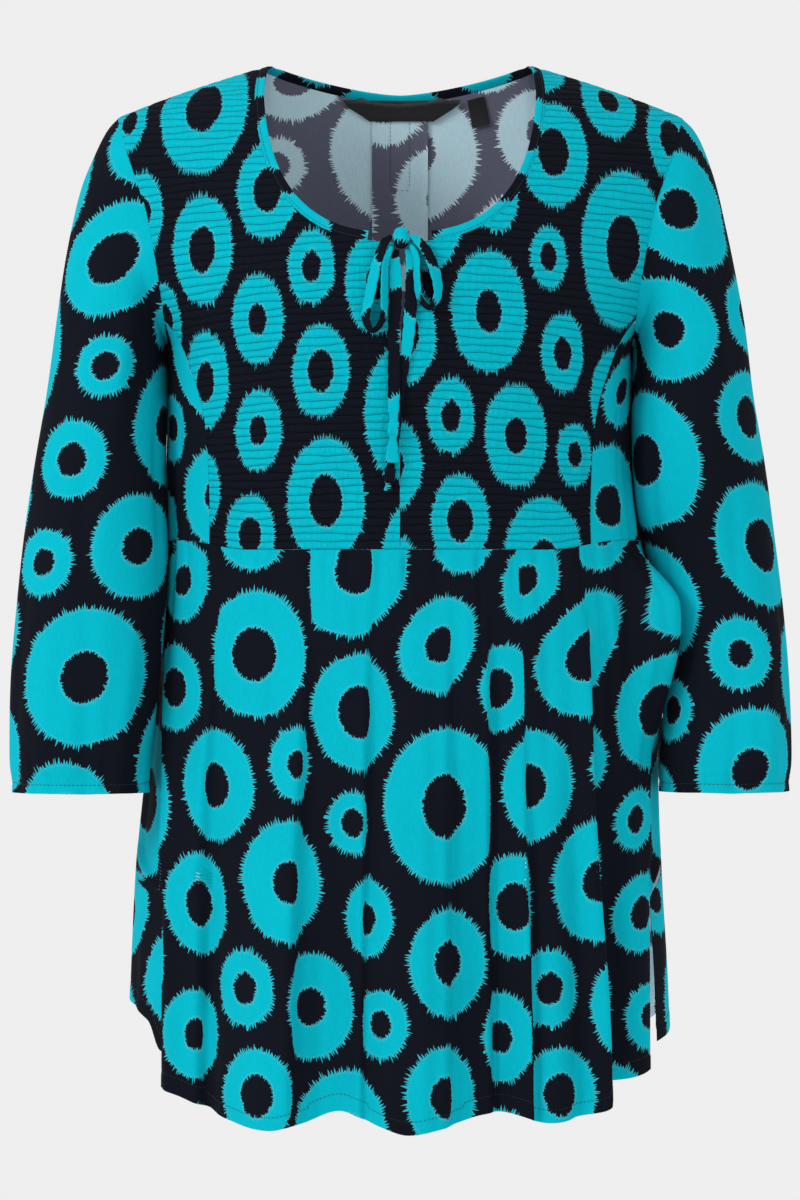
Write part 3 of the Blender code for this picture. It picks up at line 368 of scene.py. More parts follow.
    def yoke_edges(self, level: float) -> tuple[float, float]:
        """Where a yoke row starts at the neck or the centre line, and where it ends at the side."""
        extra = self.binding_width + self.seam_gap
        start, end = self.neck_opening_half, 0.16
        for _ in range(10):
            start_z, end_z = float(self.waist_z(start, level)), float(self.waist_z(end, level))
            start = max(self.neck_half(start_z, extra), float(self.at(start_z, self.slit_z, self.slit_half)))
            if level > self.shoulder_tip_z:
                end = self.shoulder_x(level)
            elif end_z > self.yoke_seam_z[0]:
                end = float(self.armhole(end_z))
            else:
                end = float(self.at(end_z, self.yoke_seam_z, self.yoke_seam_x))
        return start, end

    def vent_share(self, z: Array) -> Array:
        """How far the panels have drawn apart at a height, from 0 at the vent's top to 1."""
        return smooth((self.vent_top_z - z) / self.vent_turn)

    def vent_angle(self, shares: Array, z: Array, facing: Facing) -> Array:
        """Angle of a panel's side edge at a height, on the side of each share."""
        if facing is Facing.FRONT:
            return 90.0 + (self.plumb_angle(shares, z) - 90.0) * self.vent_share(z)
        return 90.0 + (np.where(shares < 0.0, *self.vent_back) - 90.0) * self.vent_share(z) ** 2

    def plumb_angle(self, shares: Array, z: Array) -> Array:
        """Angle round the section at which the front's side edge hangs, on the side of each share."""
        edge = np.where(shares < 0.0, *self.plumb)
        return np.degrees(np.arcsin(np.minimum(edge / self.half_width(shares, z), 1.0)))

    def section_point(self, facing: Facing, angle: Array, z: Array, push: Array) -> Array:
        """A point of the body at an angle in degrees from the centre line, positive to the right."""
        shares = np.sin(np.radians(angle))
        turned = np.where(np.abs(angle) > 90.0, -facing.value, facing.value)
        return self.point(turned, shares * self.half_width(shares, z), z, push)


# ----------------------------------------------------------------------------- cloth shells
SEAM_REACH = 0.0006  # how near the side seams' plane a point counts as lying on it
SHARP_SHEET, SHARP_STRIP = math.radians(60.0), math.radians(75.0)  # angles from which an edge is sharp


def grid_normals(grid: Array, closed: bool = False) -> Array:
    """Unit normals of a grid of points that point away from the vertical line through its middle."""
    if closed:
        across = np.roll(grid, -1, axis=1) - np.roll(grid, 1, axis=1)
    else:
        across = np.gradient(grid, axis=1)
    normals = np.cross(across, np.gradient(grid, axis=0))
    normals /= np.maximum(np.linalg.norm(normals, axis=-1, keepdims=True), 1e-12)
    away = grid - (grid.mean(axis=1, keepdims=True) if closed else np.zeros(3))
    away[..., 2] = 0.0
    return normals if np.sum(normals * away) > 0.0 else -normals


def level_at_seam(grid: Array, normals: Array) -> Array:
    """Normals with no part along Y where the grid meets the plane of the side and shoulder seams."""
    level = normals.copy()
    level[..., 1] = np.where(np.abs(grid[..., 1]) < SEAM_REACH, 0.0, normals[..., 1])
    return level / np.maximum(np.linalg.norm(level, axis=-1, keepdims=True), 1e-12)


def arc_lengths(points: Array, axis: int) -> Array:
    """Length along one axis of a grid of points, from its start to each point."""
    steps = np.linalg.norm(np.diff(points, axis=axis), axis=-1)
    start = np.zeros_like(np.take(steps, [0], axis=axis))
    return np.concatenate([start, np.cumsum(steps, axis=axis)], axis=axis)


def across_lengths(grid: Array, middle: int) -> Array:
    """Level length along each row of a grid of points, from its middle column."""
    along = arc_lengths(grid * np.array([1.0, 1.0, 0.0]), 1)
    return along - along[:, middle : middle + 1]


def linked(name: str, data: bpy.types.ID) -> bpy.types.Object:
    """A new object with its data, linked to the scene."""
    thing = bpy.data.objects.new(name, data)
    bpy.context.collection.objects.link(thing)
    return thing


def add_map(mesh: bpy.types.Mesh, name: str, flat: Array, spots: Array) -> None:
    """Adds a UV map to a mesh.

    Args:
        mesh: The mesh.
        name: The map's name.
        flat: Grid of places on the flat cloth.
        spots: Row and column of each of the faces' corners.
    """
    layer = mesh.uv_layers.new(name=name)
    layer.uv.foreach_set("vector", flat[spots[:, 0], spots[:, 1]].astype(np.float32).ravel())


@dataclass
class Cloth:
    """A sheet of cloth as a grid of points, with each point's place on the flat cut.

    A closed sheet is a tube: its flat map has one column more than its points.
    """

    name: str
    outer: Array  # rows x columns x 3
    flat: Array  # rows x columns x 2, in metres
    normals: Array
    thickness: float = 0.0006
    base: Array | None = None  # what the inner layer lies under, if not the outer points
    marks: Array | None = None  # a second flat map, such as the number of the elastic row
    closed: bool = False
    inner_step: int = 1

    def _corners(self) -> tuple[Array, Array, Array]:
        """Faces as arrays of (layer, row, column), for the outer layer, the inner layer and the rims."""
        rows, columns = self.outer.shape[:2]
        step, last = self.inner_step, columns if self.closed else columns - 1
        square = [(0, 0), (0, 1), (1, 1), (1, 0)]
        layers = []
        for layer, every, spots in ((0, 1, square), (1, step, square[::-1])):
            down, over = np.mgrid[0 : (rows - 1) // every, 0 : last // every]
            corners = [np.stack([0 * down + layer, down + a, over + b], axis=-1) for a, b in spots]
            layers.append(np.stack(corners, axis=-2).reshape(-1, 4, 3))
        rims = [self._rim([(0, j) for j in range(last + 1)], True),
                self._rim([(rows - 1, j) for j in range(last + 1)], False)]
        if not self.closed:
            rims.append(self._rim([(i, 0) for i in range(rows)], False))
            rims.append(self._rim([(i, columns - 1) for i in range(rows)], True))
        return layers[0], layers[1], np.concatenate(rims)

    def _rim(self, edge: list[tuple[int, int]], backwards: bool) -> Array:
        """Faces that join an edge of the outer layer to the inner layer's."""
        step, faces = self.inner_step, []
        for k in range(0, len(edge) - 1, step):
            far = [(0, *edge[k + n]) for n in range(step + 1)]
            near = [(1, edge[n][0] // step, edge[n][1] // step) for n in (k + step, k)]
            faces.append((far + near)[::-1] if backwards else far + near)
        return np.array(faces)

    def build(self, materials: Sequence[bpy.types.Material]) -> bpy.types.Object:
        """Makes the shell.

        Args:
            materials: The finish of the outer and of the inner layer.

        Returns:
            The object, linked to the scene.
        """
        step = self.inner_step
        base = self.outer if self.base is None else self.base
        inner = (base - self.normals * self.thickness)[::step, ::step]
        counts = (self.outer.shape[1], inner.shape[1])
        starts = (0, self.outer.shape[0] * self.outer.shape[1])
        turned = np.sum(np.cross(self.outer[0, 1] - self.outer[0, 0], self.outer[1, 0] - self.outer[0, 0])
                        * self.normals[0, 0]) < 0.0
        groups = self._corners()
        numbers, places, sizes = [], [], []
        for group in groups:
            group = group[:, ::-1] if turned else group
            layer, row, column = group[..., 0], group[..., 1], group[..., 2]
            start, count = np.take(starts, layer), np.take(counts, layer)
            numbers.append((start + row * count + column % count).ravel())
            scale = np.where(layer == 0, 1, step)
            places.append(np.stack([row * scale, column * scale], axis=-1).reshape(-1, 2))
            sizes.append(np.full(len(group), group.shape[1]))
        loops, spots, totals = np.concatenate(numbers), np.concatenate(places), np.concatenate(sizes)
        mesh = bpy.data.meshes.new(self.name)
        points = np.concatenate([self.outer.reshape(-1, 3), inner.reshape(-1, 3)])
        mesh.vertices.add(len(points))
        mesh.vertices.foreach_set("co", points.astype(np.float32).ravel())
        mesh.loops.add(len(loops))
        mesh.loops.foreach_set("vertex_index", loops.astype(np.int32))
        mesh.polygons.add(len(totals))
        mesh.polygons.foreach_set("loop_start", (np.cumsum(totals) - totals).astype(np.int32))
        slots = np.zeros(len(totals), np.int32)
        slots[len(groups[0]) : len(groups[0]) + len(groups[1])] = 1
        mesh.polygons.foreach_set("material_index", slots)
        add_map(mesh, "cloth", self.flat, spots)
        if self.marks is not None:
            add_map(mesh, "marks", self.marks, spots)
        mesh.update(calc_edges=True)
        mesh.validate()
        mesh.shade_smooth()
        mesh.set_sharp_from_angle(angle=SHARP_SHEET)
        for material in materials:
            mesh.materials.append(material)
        return linked(self.name, mesh)


def place_piece(piece: bpy.types.Object, nodes: Sequence[str] = ()) -> bpy.types.Object:
    """Lets a piece ride on the body, and stand for its solids.

    Args:
        piece: The piece.
        nodes: The solids that it replaces.

    Returns:
        The piece.
    """
    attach(piece, "root")
    if nodes:
        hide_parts(*nodes)
    LOG.info("%s: %d faces", piece.name, len(piece.data.polygons))
    return piece


# ----------------------------------------------------------------------------- stitches
@dataclass
class StitchLine:
    """A row of machine stitches along a path on the cloth."""

    path: Array  # points
    normals: Array
    length: float = 0.0024
    pitch: float = 0.0031
    thick: float = 0.00026
    lift: float = 0.00012

    def quads(self) -> tuple[Array, Array]:
        """Points and faces of all stitches, each a short strand that dips into the cloth at both ends."""
        along = arc_lengths(self.path[None], 1)[0]
        count = max(int(along[-1] / self.pitch), 1)
        begin = (np.arange(count) + 0.12) * along[-1] / count
        points, faces = [], []
        profile = ((0.0, 0.35, -0.6), (0.22, 1.0, 0.5), (0.78, 1.0, 0.5), (1.0, 0.35, -0.6))
        for k in range(count):
            rings = []
            for share, width, rise in profile:
                at = begin[k] + self.length * share
                centre = np.array([np.interp(at, along, self.path[:, n]) for n in range(3)])
                normal = np.array([np.interp(at, along, self.normals[:, n]) for n in range(3)])
                rings.append((centre, normal, width, rise))
            forward = rings[-1][0] - rings[0][0]
            forward /= max(np.linalg.norm(forward), 1e-9)
            start = len(points)
            for centre, normal, width, rise in rings:
                beside = np.cross(forward, normal)
                middle = centre + normal * (self.lift + rise * self.thick)
                for turn in range(4):
                    angle = math.pi / 4.0 + turn * math.pi / 2.0
                    spoke = beside * math.cos(angle) + normal * math.sin(angle)
                    points.append(middle + spoke * self.thick * width * 0.75)
            for ring in range(3):
                for turn in range(4):
                    a, b = start + ring * 4 + turn, start + ring * 4 + (turn + 1) % 4
                    faces.append((a, b, b + 4, a + 4))
            faces.append((start + 3, start + 2, start + 1, start))
            faces.append((start + 12, start + 13, start + 14, start + 15))
        return np.array(points), np.array(faces)


def sew(name: str, lines: Sequence[StitchLine], material: bpy.types.Material) -> bpy.types.Object:
    """Joins rows of stitches into one mesh."""
    points, faces, total = [], [], 0
    for line in lines:
        more, quads = line.quads()
        points.append(more)
        faces.append(quads + total)
        total += len(more)
    mesh = bpy.data.meshes.new(name)
    mesh.from_pydata(np.concatenate(points).tolist(), [], np.concatenate(faces).tolist())
    mesh.shade_smooth()
    mesh.materials.append(material)
    return linked(name, mesh)


# ----------------------------------------------------------------------------- shader expressions
class Field:
    """One output of a node, on which Python's operators add Math nodes."""

    def __init__(self, graph: "Graph", socket: bpy.types.NodeSocket) -> None:
        """Keeps the graph and the output."""
        self.graph = graph
        self.socket = socket

    def __add__(self, other: "Field | float") -> "Field":
        """This value plus another."""
        return self.graph.math("ADD", self, other)

    def __radd__(self, other: float) -> "Field":
        """A number plus this value."""
        return self.graph.math("ADD", other, self)

    def __sub__(self, other: "Field | float") -> "Field":
        """This value less another."""
        return self.graph.math("SUBTRACT", self, other)

    def __rsub__(self, other: float) -> "Field":
        """A number less this value."""
        return self.graph.math("SUBTRACT", other, self)

    def __mul__(self, other: "Field | float") -> "Field":
        """This value times another."""
        return self.graph.math("MULTIPLY", self, other)

    def __truediv__(self, other: "Field | float") -> "Field":
        """This value over another."""
        return self.graph.math("DIVIDE", self, other)

    def __rtruediv__(self, other: float) -> "Field":
        """A number over this value."""
        return self.graph.math("DIVIDE", other, self)

    def __lt__(self, other: "Field | float") -> "Field":
        """1 where this value is less than another, else 0."""
        return self.graph.math("LESS_THAN", self, other)


class Graph:
    """The node tree of one material."""

    def __init__(self, name: str) -> None:
        """Makes a material with its shader."""
        self.material = bpy.data.materials.new(name)
        self.material.use_nodes = True
        self.tree = self.material.node_tree
        self.shader = self.tree.nodes["Principled BSDF"]

    def add(self, kind: str, settings: Mapping[str, Any], inputs: Mapping[str | int, Any],
            output: str | int = 0) -> Field:
        """Adds a node.

        Args:
            kind: The node's type.
            settings: Its settings, set first.
            inputs: The values or links of its sockets, by name or number.
            output: Which output is wanted.

        Returns:
            That output.
        """
        node = self.tree.nodes.new(kind)
        for key, value in settings.items():
            setattr(node, key, value)
        for key, value in inputs.items():
            self.put(node.inputs[key], value)
        return Field(self, node.outputs[output])

    def put(self, socket: bpy.types.NodeSocket, value: Any) -> None:
        """Links a field to a socket, or sets the socket's own value."""
        if isinstance(value, Field):
            self.tree.links.new(value.socket, socket)
        else:
            socket.default_value = value

    def math(self, operation: str, *values: Field | float, clamp: bool = False) -> Field:
        """Adds a Math node."""
        settings = {"operation": operation, "use_clamp": clamp}
        return self.add("ShaderNodeMath", settings, dict(enumerate(values)))

    def clamp(self, value: Field) -> Field:
        """A value held between 0 and 1."""
        return self.math("ADD", value, 0.0, clamp=True)

    def vector(self, operation: str, *values: Field | tuple[float, float, float], output: int = 0) -> Field:
        """Adds a Vector Math node."""
        return self.add("ShaderNodeVectorMath", {"operation": operation}, dict(enumerate(values)), output)

    def scaled(self, vector: Field, by: Field | float) -> Field:
        """A vector times a number."""
        return self.add("ShaderNodeVectorMath", {"operation": "SCALE"}, {0: vector, "Scale": by})

    def mix_vector(self, share: Field, first: Field, second: Field) -> Field:
        """The first vector, or the second where share is 1."""
        return self.add("ShaderNodeMix", {"data_type": "VECTOR"}, {0: share, 4: first, 5: second}, 1)

    def mix_colour(self, share: Field | float, first: Any, second: Any, blend: str = "MIX") -> Field:
        """The first colour, blended with the second by share."""
        return self.add("ShaderNodeMix", {"data_type": "RGBA", "blend_type": blend},
                        {0: share, 6: first, 7: second}, 2)

    def noise(self, place: Field, detail: float = 1.0, roughness: float = 0.5) -> Field:
        """Noise about 0.5 at a place."""
        return self.add("ShaderNodeTexNoise", {"noise_dimensions": "3D"},
                        {"Vector": place, "Scale": 1.0, "Detail": detail, "Roughness": roughness})

    def stretched_noise(self, place: Field, scales: tuple[float, float, float], detail: float = 1.0,
                        roughness: float = 0.5) -> Field:
        """Noise about 0.5 at a place, with a scale for each axis."""
        return self.noise(self.vector("MULTIPLY", place, scales), detail, roughness)

    def grey(self, tone: Field) -> Field:
        """A colour with three equal parts."""
        return self.add("ShaderNodeCombineColor", {"mode": "RGB"}, dict.fromkeys(range(3), tone))

    def toned(self, colour: Any, tone: Field) -> Field:
        """A colour times a tone."""
        return self.mix_colour(1.0, colour, self.grey(tone), "MULTIPLY")

    def bump(self, strength: float, height: Field) -> None:
        """Gives the shader the relief of a height in metres."""
        relief = {"Strength": strength, "Distance": 1.0, "Height": height}
        self.feed("Normal", self.add("ShaderNodeBump", {}, relief))

    def flat_map(self, name: str) -> Field:
        """A point's place on a flat map of its piece."""
        return self.add("ShaderNodeUVMap", {"uv_map": name}, {})

    def parts(self, vector: Field) -> tuple[Field, Field, Field]:
        """The three parts of a vector."""
        first = self.add("ShaderNodeSeparateXYZ", {}, {0: vector})
        node = first.socket.node
        return first, Field(self, node.outputs[1]), Field(self, node.outputs[2])

    def feed(self, socket: str, value: Field | float) -> None:
        """Gives the shader a value."""
        self.put(self.shader.inputs[socket], value)


# ----------------------------------------------------------------------------- finishes
RING_NOISE, RING_HOLE_TURNS = 911.0, 2170.0  # give each ring its own noise and hole, from its radius
WAVER_SCALE, JITTER_SCALE = 1.3, 9.0  # scales of the noise round a ring
HOLE_WAVER = 0.4  # how much of a ring's waver its hole follows


@dataclass(frozen=True)
class Ring:
    """One ring of the print's repeat: its centre and its radius in metres."""

    x: float
    y: float
    radius: float


@dataclass(frozen=True)
class RingPrint:
    """An all-over print of rings with frayed edges, as a charted repeat."""

    tile: tuple[float, float] = (0.360, 0.414)
    hole: float = 0.385  # mean radius of the hole, as a share of the ring's
    fray_pitch: float = 0.0023  # distance between two spikes along the edge
    fray_depth: float = 0.0054
    tip: float = 0.0016  # length of a spike's pale tip
    halo: float = 0.0040  # width of the paler band behind the spikes
    halo_share: float = 0.20  # how pale that band is
    soft: float = 0.00030
    hole_vary: float = 0.055  # how much the hole's share differs from ring to ring
    waver_share: float = 0.08  # how far a ring is out of round, as a share of its radius
    jitter: float = 2.6  # how unevenly the spikes are spaced
    spike_range: tuple[float, float] = (1.9, 0.20)  # spread of the spikes' lengths, and what is taken off
    edge_inset: float = 0.55  # shares of the fraying's depth: where the outer spikes stand,
    hole_inset: float = 0.22  # where the hole's spikes stand,
    hole_fray: float = 0.50  # and how long the hole's spikes are
    rings: tuple[Ring, ...] = (
        Ring(0.133, 0.401, 0.0581), Ring(0.029, 0.160, 0.0519), Ring(0.292, 0.097, 0.0476),
        Ring(0.320, 0.346, 0.0457), Ring(0.042, 0.055, 0.0439), Ring(0.247, 0.001, 0.0420),
        Ring(0.137, 0.288, 0.0408), Ring(0.354, 0.256, 0.0396), Ring(0.220, 0.328, 0.0383),
        Ring(0.131, 0.192, 0.0377), Ring(0.121, 0.104, 0.0365), Ring(0.286, 0.192, 0.0352),
        Ring(0.208, 0.233, 0.0340), Ring(0.198, 0.072, 0.0328), Ring(0.208, 0.151, 0.0315),
        Ring(0.055, 0.320, 0.0303), Ring(0.275, 0.269, 0.0290), Ring(0.329, 0.017, 0.0278),
        Ring(0.072, 0.244, 0.0260), Ring(0.034, 0.389, 0.0235),
    )

    def masks(self, graph: Graph, place: Field) -> tuple[Field, Field]:
        """Where the rings are, and how pale their frayed edges are.

        Args:
            graph: The material's graph.
            place: The place on the flat cloth, in metres.

        Returns:
            The rings' mask and the paleness of their edges.
        """
        half = (self.tile[0] / 2.0, self.tile[1] / 2.0, 1.0)
        nearest, chosen = None, None
        for ring in self.rings:
            toward = graph.vector("SUBTRACT", place, (ring.x, ring.y, -ring.radius))
            wrapped = graph.vector("WRAP", toward, half, tuple(-n for n in half))
            apart = graph.vector("DISTANCE", wrapped, (0.0, 0.0, ring.radius), output=1) - ring.radius
            if nearest is None:
                nearest, chosen = apart, wrapped
            else:
                chosen = graph.mix_vector(apart < nearest, chosen, wrapped)
                nearest = graph.math("MINIMUM", nearest, apart)
        right, up, radius = graph.parts(chosen)
        out_from = nearest + radius
        turn = graph.math("ARCTAN2", up, right) / (2.0 * math.pi)
        spoke = graph.scaled(graph.vector("MULTIPLY", chosen, (1.0, 1.0, 0.0)), 1.0 / (out_from + 0.0005))
        own = graph.add("ShaderNodeCombineXYZ", {}, {2: radius * RING_NOISE})
        inner = radius * (graph.math("SINE", radius * RING_HOLE_TURNS) * self.hole_vary + self.hole)
        waver = (graph.noise(graph.scaled(spoke, WAVER_SCALE)) - 0.5) * radius * self.waver_share
        jitter = graph.noise(graph.vector("ADD", graph.scaled(spoke, JITTER_SCALE), own)) * self.jitter
        edges = []
        for middle in (radius, inner):
            count = graph.math("ROUND", middle * (2.0 * math.pi / self.fray_pitch))
            zigzag = graph.math("PINGPONG", turn * count + jitter, 0.5) * 2.0
            around = graph.vector("ADD", graph.scaled(spoke, middle / self.fray_pitch), own)
            lengths = graph.noise(around, detail=0.0) * self.spike_range[0] - self.spike_range[1]
            edges.append(zigzag * lengths)
        edge = radius + waver - self.fray_depth * self.edge_inset + edges[0] * self.fray_depth
        brink = inner + waver * HOLE_WAVER + self.fray_depth * self.hole_inset
        brink = brink - edges[1] * (self.fray_depth * self.hole_fray)
        shown = graph.clamp((edge - out_from) / self.soft) * graph.clamp((out_from - brink) / self.soft)
        to_edge = graph.clamp(1.0 - (edge - out_from) / self.tip)
        to_brink = graph.clamp(1.0 - (out_from - brink) / self.tip)
        near_edge = graph.clamp(1.0 - (radius + waver - out_from) / self.halo)
        near_brink = graph.clamp(1.0 - (out_from - inner - waver * HOLE_WAVER) / (self.halo * 0.8))
        tips, near = graph.math("MAXIMUM", to_edge, to_brink), graph.math("MAXIMUM", near_edge, near_brink)
        return shown, graph.math("MAXIMUM", tips, near * self.halo_share)


Colour = tuple[float, float, float, float]


@dataclass(frozen=True)
class PrintedCloth:
    """Soft crepe with the ring print, on its face or its reverse."""

    name: str
    ground: Colour
    ring: Colour
    edge: Colour
    roughness: float = 0.86
    sheen: float = 0.006
    crepe: float = 0.00022  # height of the crepe's crinkle
    crinkle_scales: tuple[float, float, float] = (950.0, 150.0, 1.0)
    cloud_scales: tuple[float, float, float] = (24.0, 17.0, 1.0)
    elastic: bool = False  # drawn in by rows of elastic thread
    row_scales: tuple[float, float, float] = (150.0, 60.0, 1.0)
    pucker_scales: tuple[float, float, float] = (230.0, 62.0, 1.0)
    pucker: float = 0.0016  # height of the puckers between two rows
    thread_half: float = 0.055  # half width of an elastic row, as a share of the pitch
    thread_sunk: float = 0.00035
    # how much darker the cloth is along an elastic row: the thread's own colour, and painted shade in the
    # groove that it draws in
    thread_and_painted_groove_shade: float = 0.62
    print_: RingPrint = RingPrint()

    def build(self) -> bpy.types.Material:
        """Makes the material."""
        graph = Graph(self.name)
        cloth = graph.flat_map("cloth")
        shown, pale = self.print_.masks(graph, cloth)
        crinkle = graph.stretched_noise(cloth, self.crinkle_scales, detail=2.5, roughness=0.62)
        cloudy = graph.stretched_noise(cloth, self.cloud_scales, detail=2.0)
        ring = graph.mix_colour(graph.clamp(pale * (crinkle * 1.6 + 0.1)), self.ring, self.edge)
        colour = graph.mix_colour(shown, self.ground, ring)
        shade = (crinkle - 0.5) * 0.30 + (cloudy - 0.5) * 0.10 + 1.0
        height = crinkle * self.crepe
        if self.elastic:
            row = graph.flat_map("marks")
            wave = (graph.stretched_noise(cloth, self.row_scales) - 0.5) * 0.10
            off = graph.math("PINGPONG", graph.parts(row)[1] + wave, 0.5)
            thread = graph.clamp(1.2 - off / self.thread_half)
            pucker = graph.stretched_noise(cloth, self.pucker_scales, detail=2.0, roughness=0.6)
            # along the elastic rows the colour is darkened, partly for the thread and partly as painted shade
            # in their grooves
            shade = shade * (1.0 - thread * self.thread_and_painted_groove_shade) * ((pucker - 0.5) * 0.30 + 1.0)
            height = height + pucker * self.pucker * graph.clamp(off * 3.2) - thread * self.thread_sunk
        graph.feed("Base Color", graph.toned(colour, shade))
        graph.feed("Roughness", self.roughness + (crinkle - 0.5) * 0.14)
        graph.bump(0.8, height)
        graph.feed("Sheen Weight", self.sheen)
        graph.feed("Sheen Roughness", 0.5)
        graph.feed("Specular IOR Level", 0.04)
        return graph.material


@dataclass(frozen=True)
class WovenRibbon:
    """Satin-woven black ribbon of the labels, blank."""

    name: str = "label ribbon"
    colour: Colour = (0.010, 0.010, 0.011, 1.0)
    weave: float = 2400.0

    def build(self) -> bpy.types.Material:
        """Makes the material."""
        graph = Graph(self.name)
        cloth = graph.flat_map("cloth")
        floats = graph.stretched_noise(cloth, (self.weave * 0.22, self.weave, 1.0))
        cross = graph.add("ShaderNodeTexWave", {"wave_type": "BANDS", "bands_direction": "Y"},
                          {"Vector": cloth, "Scale": self.weave * 0.16, "Distortion": 1.5}, 1)
        graph.feed("Base Color", graph.toned(self.colour, floats * 0.5 + 0.75))
        graph.feed("Roughness", 0.42 + (floats - 0.5) * 0.2)
        graph.bump(0.7, floats * 0.00006 + cross * 0.00004)
        return graph.material


@dataclass(frozen=True)
class SewingThread:
    """Twisted sewing thread."""

    name: str
    colour: Colour

    def build(self) -> bpy.types.Material:
        """Makes the material."""
        graph = Graph(self.name)
        place = graph.add("ShaderNodeTexCoord", {}, {}, "Object")
        twist = graph.stretched_noise(place, (3000.0, 3000.0, 3000.0))
        graph.feed("Base Color", graph.toned(self.colour, twist * 0.6 + 0.7))
        graph.feed("Roughness", 0.55 + twist * 0.2)
        return graph.material


@dataclass(frozen=True)
class StudioFloor:
    """A plain pale floor."""

    name: str = "studio floor"
    tone: float = 0.93

    def build(self) -> bpy.types.Material:
        """Makes the material."""
        graph = Graph(self.name)
        place = graph.add("ShaderNodeTexCoord", {}, {}, "Object")
        speckle = graph.stretched_noise(place, (3.0, 3.0, 3.0))
        graph.feed("Base Color", graph.grey(self.tone + (speckle - 0.5) * 0.02))
        graph.feed("Roughness", 0.9)
        return graph.material


@dataclass
class Finishes:
    """All materials of the blouse."""

    face: bpy.types.Material
    reverse: bpy.types.Material
    smocked: bpy.types.Material
    label: bpy.types.Material
    dark_thread: bpy.types.Material

    @classmethod
    def make(cls) -> "Finishes":
        """Builds them."""
        # ground, ring and frayed edge
        deep = (0.0042, 0.0056, 0.0098, 1.0), (0.0004, 0.390, 0.480, 1.0), (0.070, 0.460, 0.540, 1.0)
        # the reverse's ground, ring and edge are paler print, brightened further as painted light that lifts
        # the shade inside the neck
        pale = (0.135, 0.137, 0.190, 1.0), (0.600, 0.820, 0.900, 1.0), (0.680, 0.840, 0.880, 1.0)
        return cls(
            face=PrintedCloth("ring print", *deep).build(),
            reverse=PrintedCloth("ring print reverse", *pale).build(),
            smocked=PrintedCloth("ring print smocked", *deep, elastic=True).build(),
            label=WovenRibbon().build(),
            dark_thread=SewingThread("dark thread", (0.010, 0.012, 0.020, 1.0)).build(),
        )


# ----------------------------------------------------------------------------- front
def hem_stitches(name: str, outer: Array, normals: Array, turn: float,
                 finishes: Finishes) -> bpy.types.Object:
    """Makes the row of stitches that holds a hem.

    Args:
        name: The stitches' name.
        outer: The cloth's outer face, with the hem's edge as its last row.
        normals: Its normals.
        turn: Width of the hem's turn.
        finishes: The materials.

    Returns:
        The stitches.
    """
    down = arc_lengths(outer, 0)
    row = np.argmin(np.abs(down[-1] - down - turn), axis=0)
    columns = np.arange(2, outer.shape[1] - 2)
    line = StitchLine(outer[row[columns], columns], normals[row[columns], columns])
    return place_piece(sew(name, [line], finishes.dark_thread))


@dataclass
class Yoke:
    """One half of the shirred yoke: puffs of gathered cloth between rows of elastic thread."""

    form: BodyForm
    side: Side
    pitch: float = 0.00575
    top_z: float = -0.0006
    rise: float = 0.00055
    samples: int = 6  # rows of points for each puff
    columns: int = 108
    gather: float = 1.62  # flat width over the width that the elastic draws it in to
    waver: float = 0.00042  # how far an elastic row strays up and down
    calm: float = 0.06  # share of the width at each side in which it grows
    calm_rows: float = 1.5  # rows at the top and at the waist over which it grows
    roundness: float = 0.30  # a puff's section, from 1 for a sine to 0 for a block
    print_place: tuple[float, float] = (0.0, 0.0)
    cut: tuple[float, float] = (0.300, 0.385)

    def levels(self) -> tuple[Array, int]:
        """Heights of the rows of points, even along the cloth, and the number of puffs."""
        fine = np.linspace(self.top_z, self.form.empire_z, 1200)
        path = self.form.point(-1, np.full_like(fine, self.form.reference_x), fine)
        along = arc_lengths(path[None], 1)[0]
        puffs = int(round(along[-1] / self.pitch))
        return np.interp(np.linspace(0.0, along[-1], puffs * self.samples + 1), along, fine), puffs

    def sheet(self) -> tuple[Array, Array, Array, Array]:
        """The face through the elastic rows.

        Returns:
            Its points, their normals, and each point's row number and length from the centre.
        """
        sign, (levels, puffs) = self.side.value, self.levels()
        rows, over = [], []
        number = np.linspace(0.0, puffs, len(levels))
        for level, row in zip(levels, number):
            start, end = self.form.yoke_edges(float(level))
            width = float(self.form.half_width(sign, level))
            first, last = math.asin(start / width), math.asin(min(end / width, 1.0))
            shares = np.linspace(0.0, 1.0, self.columns + 1)
            across = sign * width * np.sin(first + (last - first) * shares)
            inner = smooth(shares / self.calm) * smooth((1.0 - shares) / self.calm)
            inner = inner * smooth(row / self.calm_rows) * smooth((puffs - row) / self.calm_rows)
            waver = np.sin(118.0 * across + 1.7 * row) + 0.6 * np.sin(263.0 * across - 2.3 * row + 1.0)
            z = self.form.waist_z(across, level + self.waver * waver * inner)
            rows.append(self.form.point(-1, across, z))
            over.append(self.form.centre_arc(across, float(level)))
        base = np.array(rows)
        number = np.broadcast_to(number[:, None], base.shape[:2])
        return base, level_at_seam(base, grid_normals(base)), number, np.array(over)

    def build(self, finishes: Finishes) -> bpy.types.Object:
        """Makes the piece."""
        base, normals, number, over = self.sheet()
        share = number % 1.0
        swell = np.sin(math.pi * share) ** self.roundness
        uneven = 0.86 + 0.16 * np.sin(over * 410.0 + 2.1 * np.floor(number)) * np.sin(over * 173.0 + number)
        outer = base + normals * (self.rise * swell * uneven)[..., None]
        flat = np.stack([self.side.value * over * self.gather + self.print_place[0],
                         -number * self.pitch + self.print_place[1]], axis=-1)
        marks = np.stack([over, number], axis=-1)
        cloth = Cloth(f"yoke_{self.side.word}_smocking", outer, flat, normals, base=base, marks=marks,
                      inner_step=2)
        piece = place_piece(cloth.build((finishes.smocked, finishes.reverse)),
                            (f"yoke_{self.side.word}",))
        0.62 * self.cut[0] * self.cut[1]
        return piece


